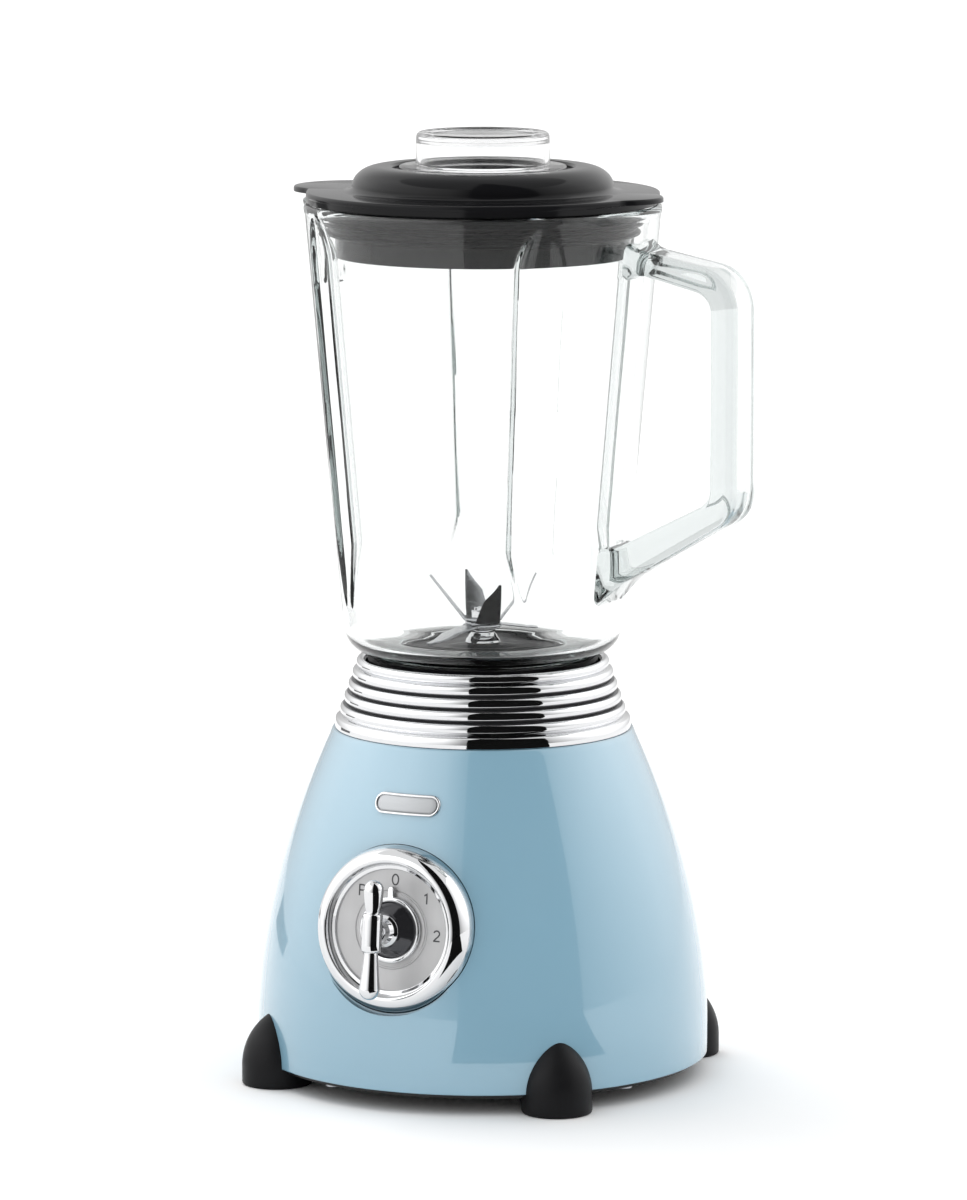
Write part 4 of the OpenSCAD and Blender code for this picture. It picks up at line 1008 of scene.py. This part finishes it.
def wall(name, az0, az1, dist, z0, z1, glossy=True, through=False, mat=None, zn=1):
    """A curved studio card between two azimuths."""
    n = max(2, int((az1 - az0) / 4))
    verts, faces = [], []
    for i in range(n + 1):
        a = (az0 + (az1 - az0) * i / n) * D2R
        for z in (z0, z1):
            verts.append((dist * math.sin(a), -dist * math.cos(a), z))
    for i in range(n):
        faces.append((2 * i, 2 * i + 2, 2 * i + 3, 2 * i + 1))
    me = bpy.data.meshes.new(name)
    me.from_pydata(verts, [], faces)
    me.materials.append(mat or dark)
    o = obj_of(name, me)
    hide_from(o, glossy, through)
    return o


def ground(name, az0, az1, d0, d1, z=0.0015, mat=None, glossy=True, through=False):
    """A flat dark card on the floor that only gloss sees."""
    n = max(2, int((az1 - az0) / 4))
    verts, faces = [], []
    for i in range(n + 1):
        a = (az0 + (az1 - az0) * i / n) * D2R
        for d in (d0, d1):
            verts.append((d * math.sin(a), -d * math.cos(a), z))
    for i in range(n):
        faces.append((2 * i, 2 * i + 1, 2 * i + 3, 2 * i + 2))
    me = bpy.data.meshes.new(name)
    me.from_pydata(verts, [], faces)
    me.materials.append(mat or dark)
    o = obj_of(name, me)
    hide_from(o, glossy, through)
    return o


def cloth(name, value):
    m = dark.copy()
    m.name = name
    m.node_tree.nodes["Principled BSDF"].inputs["Base Color"].default_value = (value, value, value, 1)
    return m


grey = cloth("flag_grey", 0.16)

CAM_AZ = 25.6
wall("flag_front", 13.4, 76.4, 1.5, 0.0, 6.0)
ground("flag_front_floor", 13.4, 76.4, 0.20, 1.5)
ground("flag_front_ceiling", 13.4, 76.4, 0.0, 1.5, z=2.6)
ground("flag_left_back_floor", 244, 262, 0.8, 4.0, mat=grey)

# A ring of soft boxes round the object. Its strength changes smoothly with azimuth, and only gloss sees it.
tent_mat = bpy.data.materials.new("soft_boxes")
tent_mat.use_nodes = True
tn = tent_mat.node_tree
tn.nodes.clear()
t_out = tn.nodes.new("ShaderNodeOutputMaterial")
t_em = tn.nodes.new("ShaderNodeEmission")
t_co = tn.nodes.new("ShaderNodeTexCoord")
t_gr = tn.nodes.new("ShaderNodeTexGradient")
t_gr.gradient_type = "RADIAL"
t_ramp = tn.nodes.new("ShaderNodeValToRGB")
t_mul = tn.nodes.new("ShaderNodeMath")
t_mul.operation = "MULTIPLY"
t_mul.inputs[1].default_value = 4.0
t_sep = tn.nodes.new("ShaderNodeSeparateXYZ")
t_low = tn.nodes.new("ShaderNodeMapRange")
t_low.inputs["From Min"].default_value = 0.0
t_low.inputs["From Max"].default_value = 0.9
t_low.inputs["To Min"].default_value = 0.60
t_low.inputs["To Max"].default_value = 1.0
t_fade = tn.nodes.new("ShaderNodeMath")
t_fade.operation = "MULTIPLY"
tn.links.new(t_co.outputs["Object"], t_sep.inputs["Vector"])
tn.links.new(t_sep.outputs["Z"], t_low.inputs["Value"])
tn.links.new(t_co.outputs["Object"], t_gr.inputs["Vector"])
tn.links.new(t_gr.outputs["Fac"], t_ramp.inputs["Fac"])
tn.links.new(t_ramp.outputs["Color"], t_mul.inputs[0])
tn.links.new(t_mul.outputs["Value"], t_fade.inputs[0])
tn.links.new(t_low.outputs["Result"], t_fade.inputs[1])
tn.links.new(t_fade.outputs["Value"], t_em.inputs["Strength"])
tn.links.new(t_em.outputs["Emission"], t_out.inputs["Surface"])
SOFT = [(-180, 0.62), (-150, 1.2), (-120, 2.2), (-96, 2.5), (-60, 2.3), (-30, 1.5), (-16, 0.6), (-4, 0.15), (32, 0.15), (46, 0.45), (55, 0.9),
        (72, 1.5), (90, 2.0), (112, 2.3), (142, 1.8), (180, 0.62)]            # (degrees from the camera's azimuth, strength)
stops = []
for rel, value in SOFT[:-1]:
    direction = (CAM_AZ + rel - 90) * D2R                                  # azimuth from -Y to the angle from +X
    f = (math.atan2(math.sin(direction), math.cos(direction)) / TAU + 0.5) % 1.0
    stops.append((f, value / 4.0))
stops.sort()
ramp = t_ramp.color_ramp
while len(ramp.elements) > 1:
    ramp.elements.remove(ramp.elements[-1])
ramp.elements[0].position = 0.0
wrap = (stops[0][1] * (1 - stops[-1][0]) + stops[-1][1] * stops[0][0]) / max(1e-6, (1 - stops[-1][0]) + stops[0][0])
ramp.elements[0].color = (wrap, wrap, wrap, 1)
for f, value in stops + [(1.0, wrap)]:
    e = ramp.elements.new(f)
    e.color = (value, value, value, 1)
wall("soft_boxes", -180, 180, 1.8, 0.0, 2.4, mat=tent_mat)

world = bpy.data.worlds.new("studio")
bpy.context.scene.world = world
world.use_nodes = True
bg = world.node_tree.nodes["Background"]
bg.inputs["Color"].default_value = (1.0, 1.0, 1.0, 1)
bg.inputs["Strength"].default_value = 1.0

sun_data = bpy.data.lights.new("soft_key", "SUN")
sun_data.energy = 1.05
sun_data.angle = 0.7
sun = obj_of("soft_key", sun_data)
sun.rotation_euler = Vector((-0.62, 0.22, 1.0)).normalized().to_track_quat("Z", "Y").to_euler()
sun.visible_glossy = False
sun.visible_transmission = False

side_data = bpy.data.lights.new("soft_side", "SUN")
side_data.energy = 0.30
side_data.angle = 0.9
side = obj_of("soft_side", side_data)
side.rotation_euler = Vector((0.85, 0.35, 0.9)).normalized().to_track_quat("Z", "Y").to_euler()
side.visible_glossy = False
side.visible_transmission = False

cam_data = bpy.data.cameras.new("camera")
cam = obj_of("camera", cam_data)
cam_data.sensor_fit = "VERTICAL"
cam_data.sensor_height = 36.0
cam_data.lens = 210.0
cam_data.clip_end = 100.0
LOOK = Vector((0, 0, 0.198))
DIST, PITCH = 2.9046, 8.45 * D2R
back = Vector((math.sin(CAM_AZ * D2R) * math.cos(PITCH), -math.cos(CAM_AZ * D2R) * math.cos(PITCH), math.sin(PITCH)))
cam.location = LOOK + back * DIST
cam.rotation_euler = back.to_track_quat("Z", "Y").to_euler()
cam_data.shift_x = 0.6 / 1200
bpy.context.scene.camera = cam

sc = bpy.context.scene
sc.view_settings.view_transform = "Standard"
sc.view_settings.look = "None"
sc.cycles.max_bounces = 24
sc.cycles.transmission_bounces = 20
sc.cycles.glossy_bounces = 8
sc.cycles.transparent_max_bounces = 8
sc.cycles.caustics_reflective = False
sc.cycles.caustics_refractive = False
sc.cycles.use_denoising = True
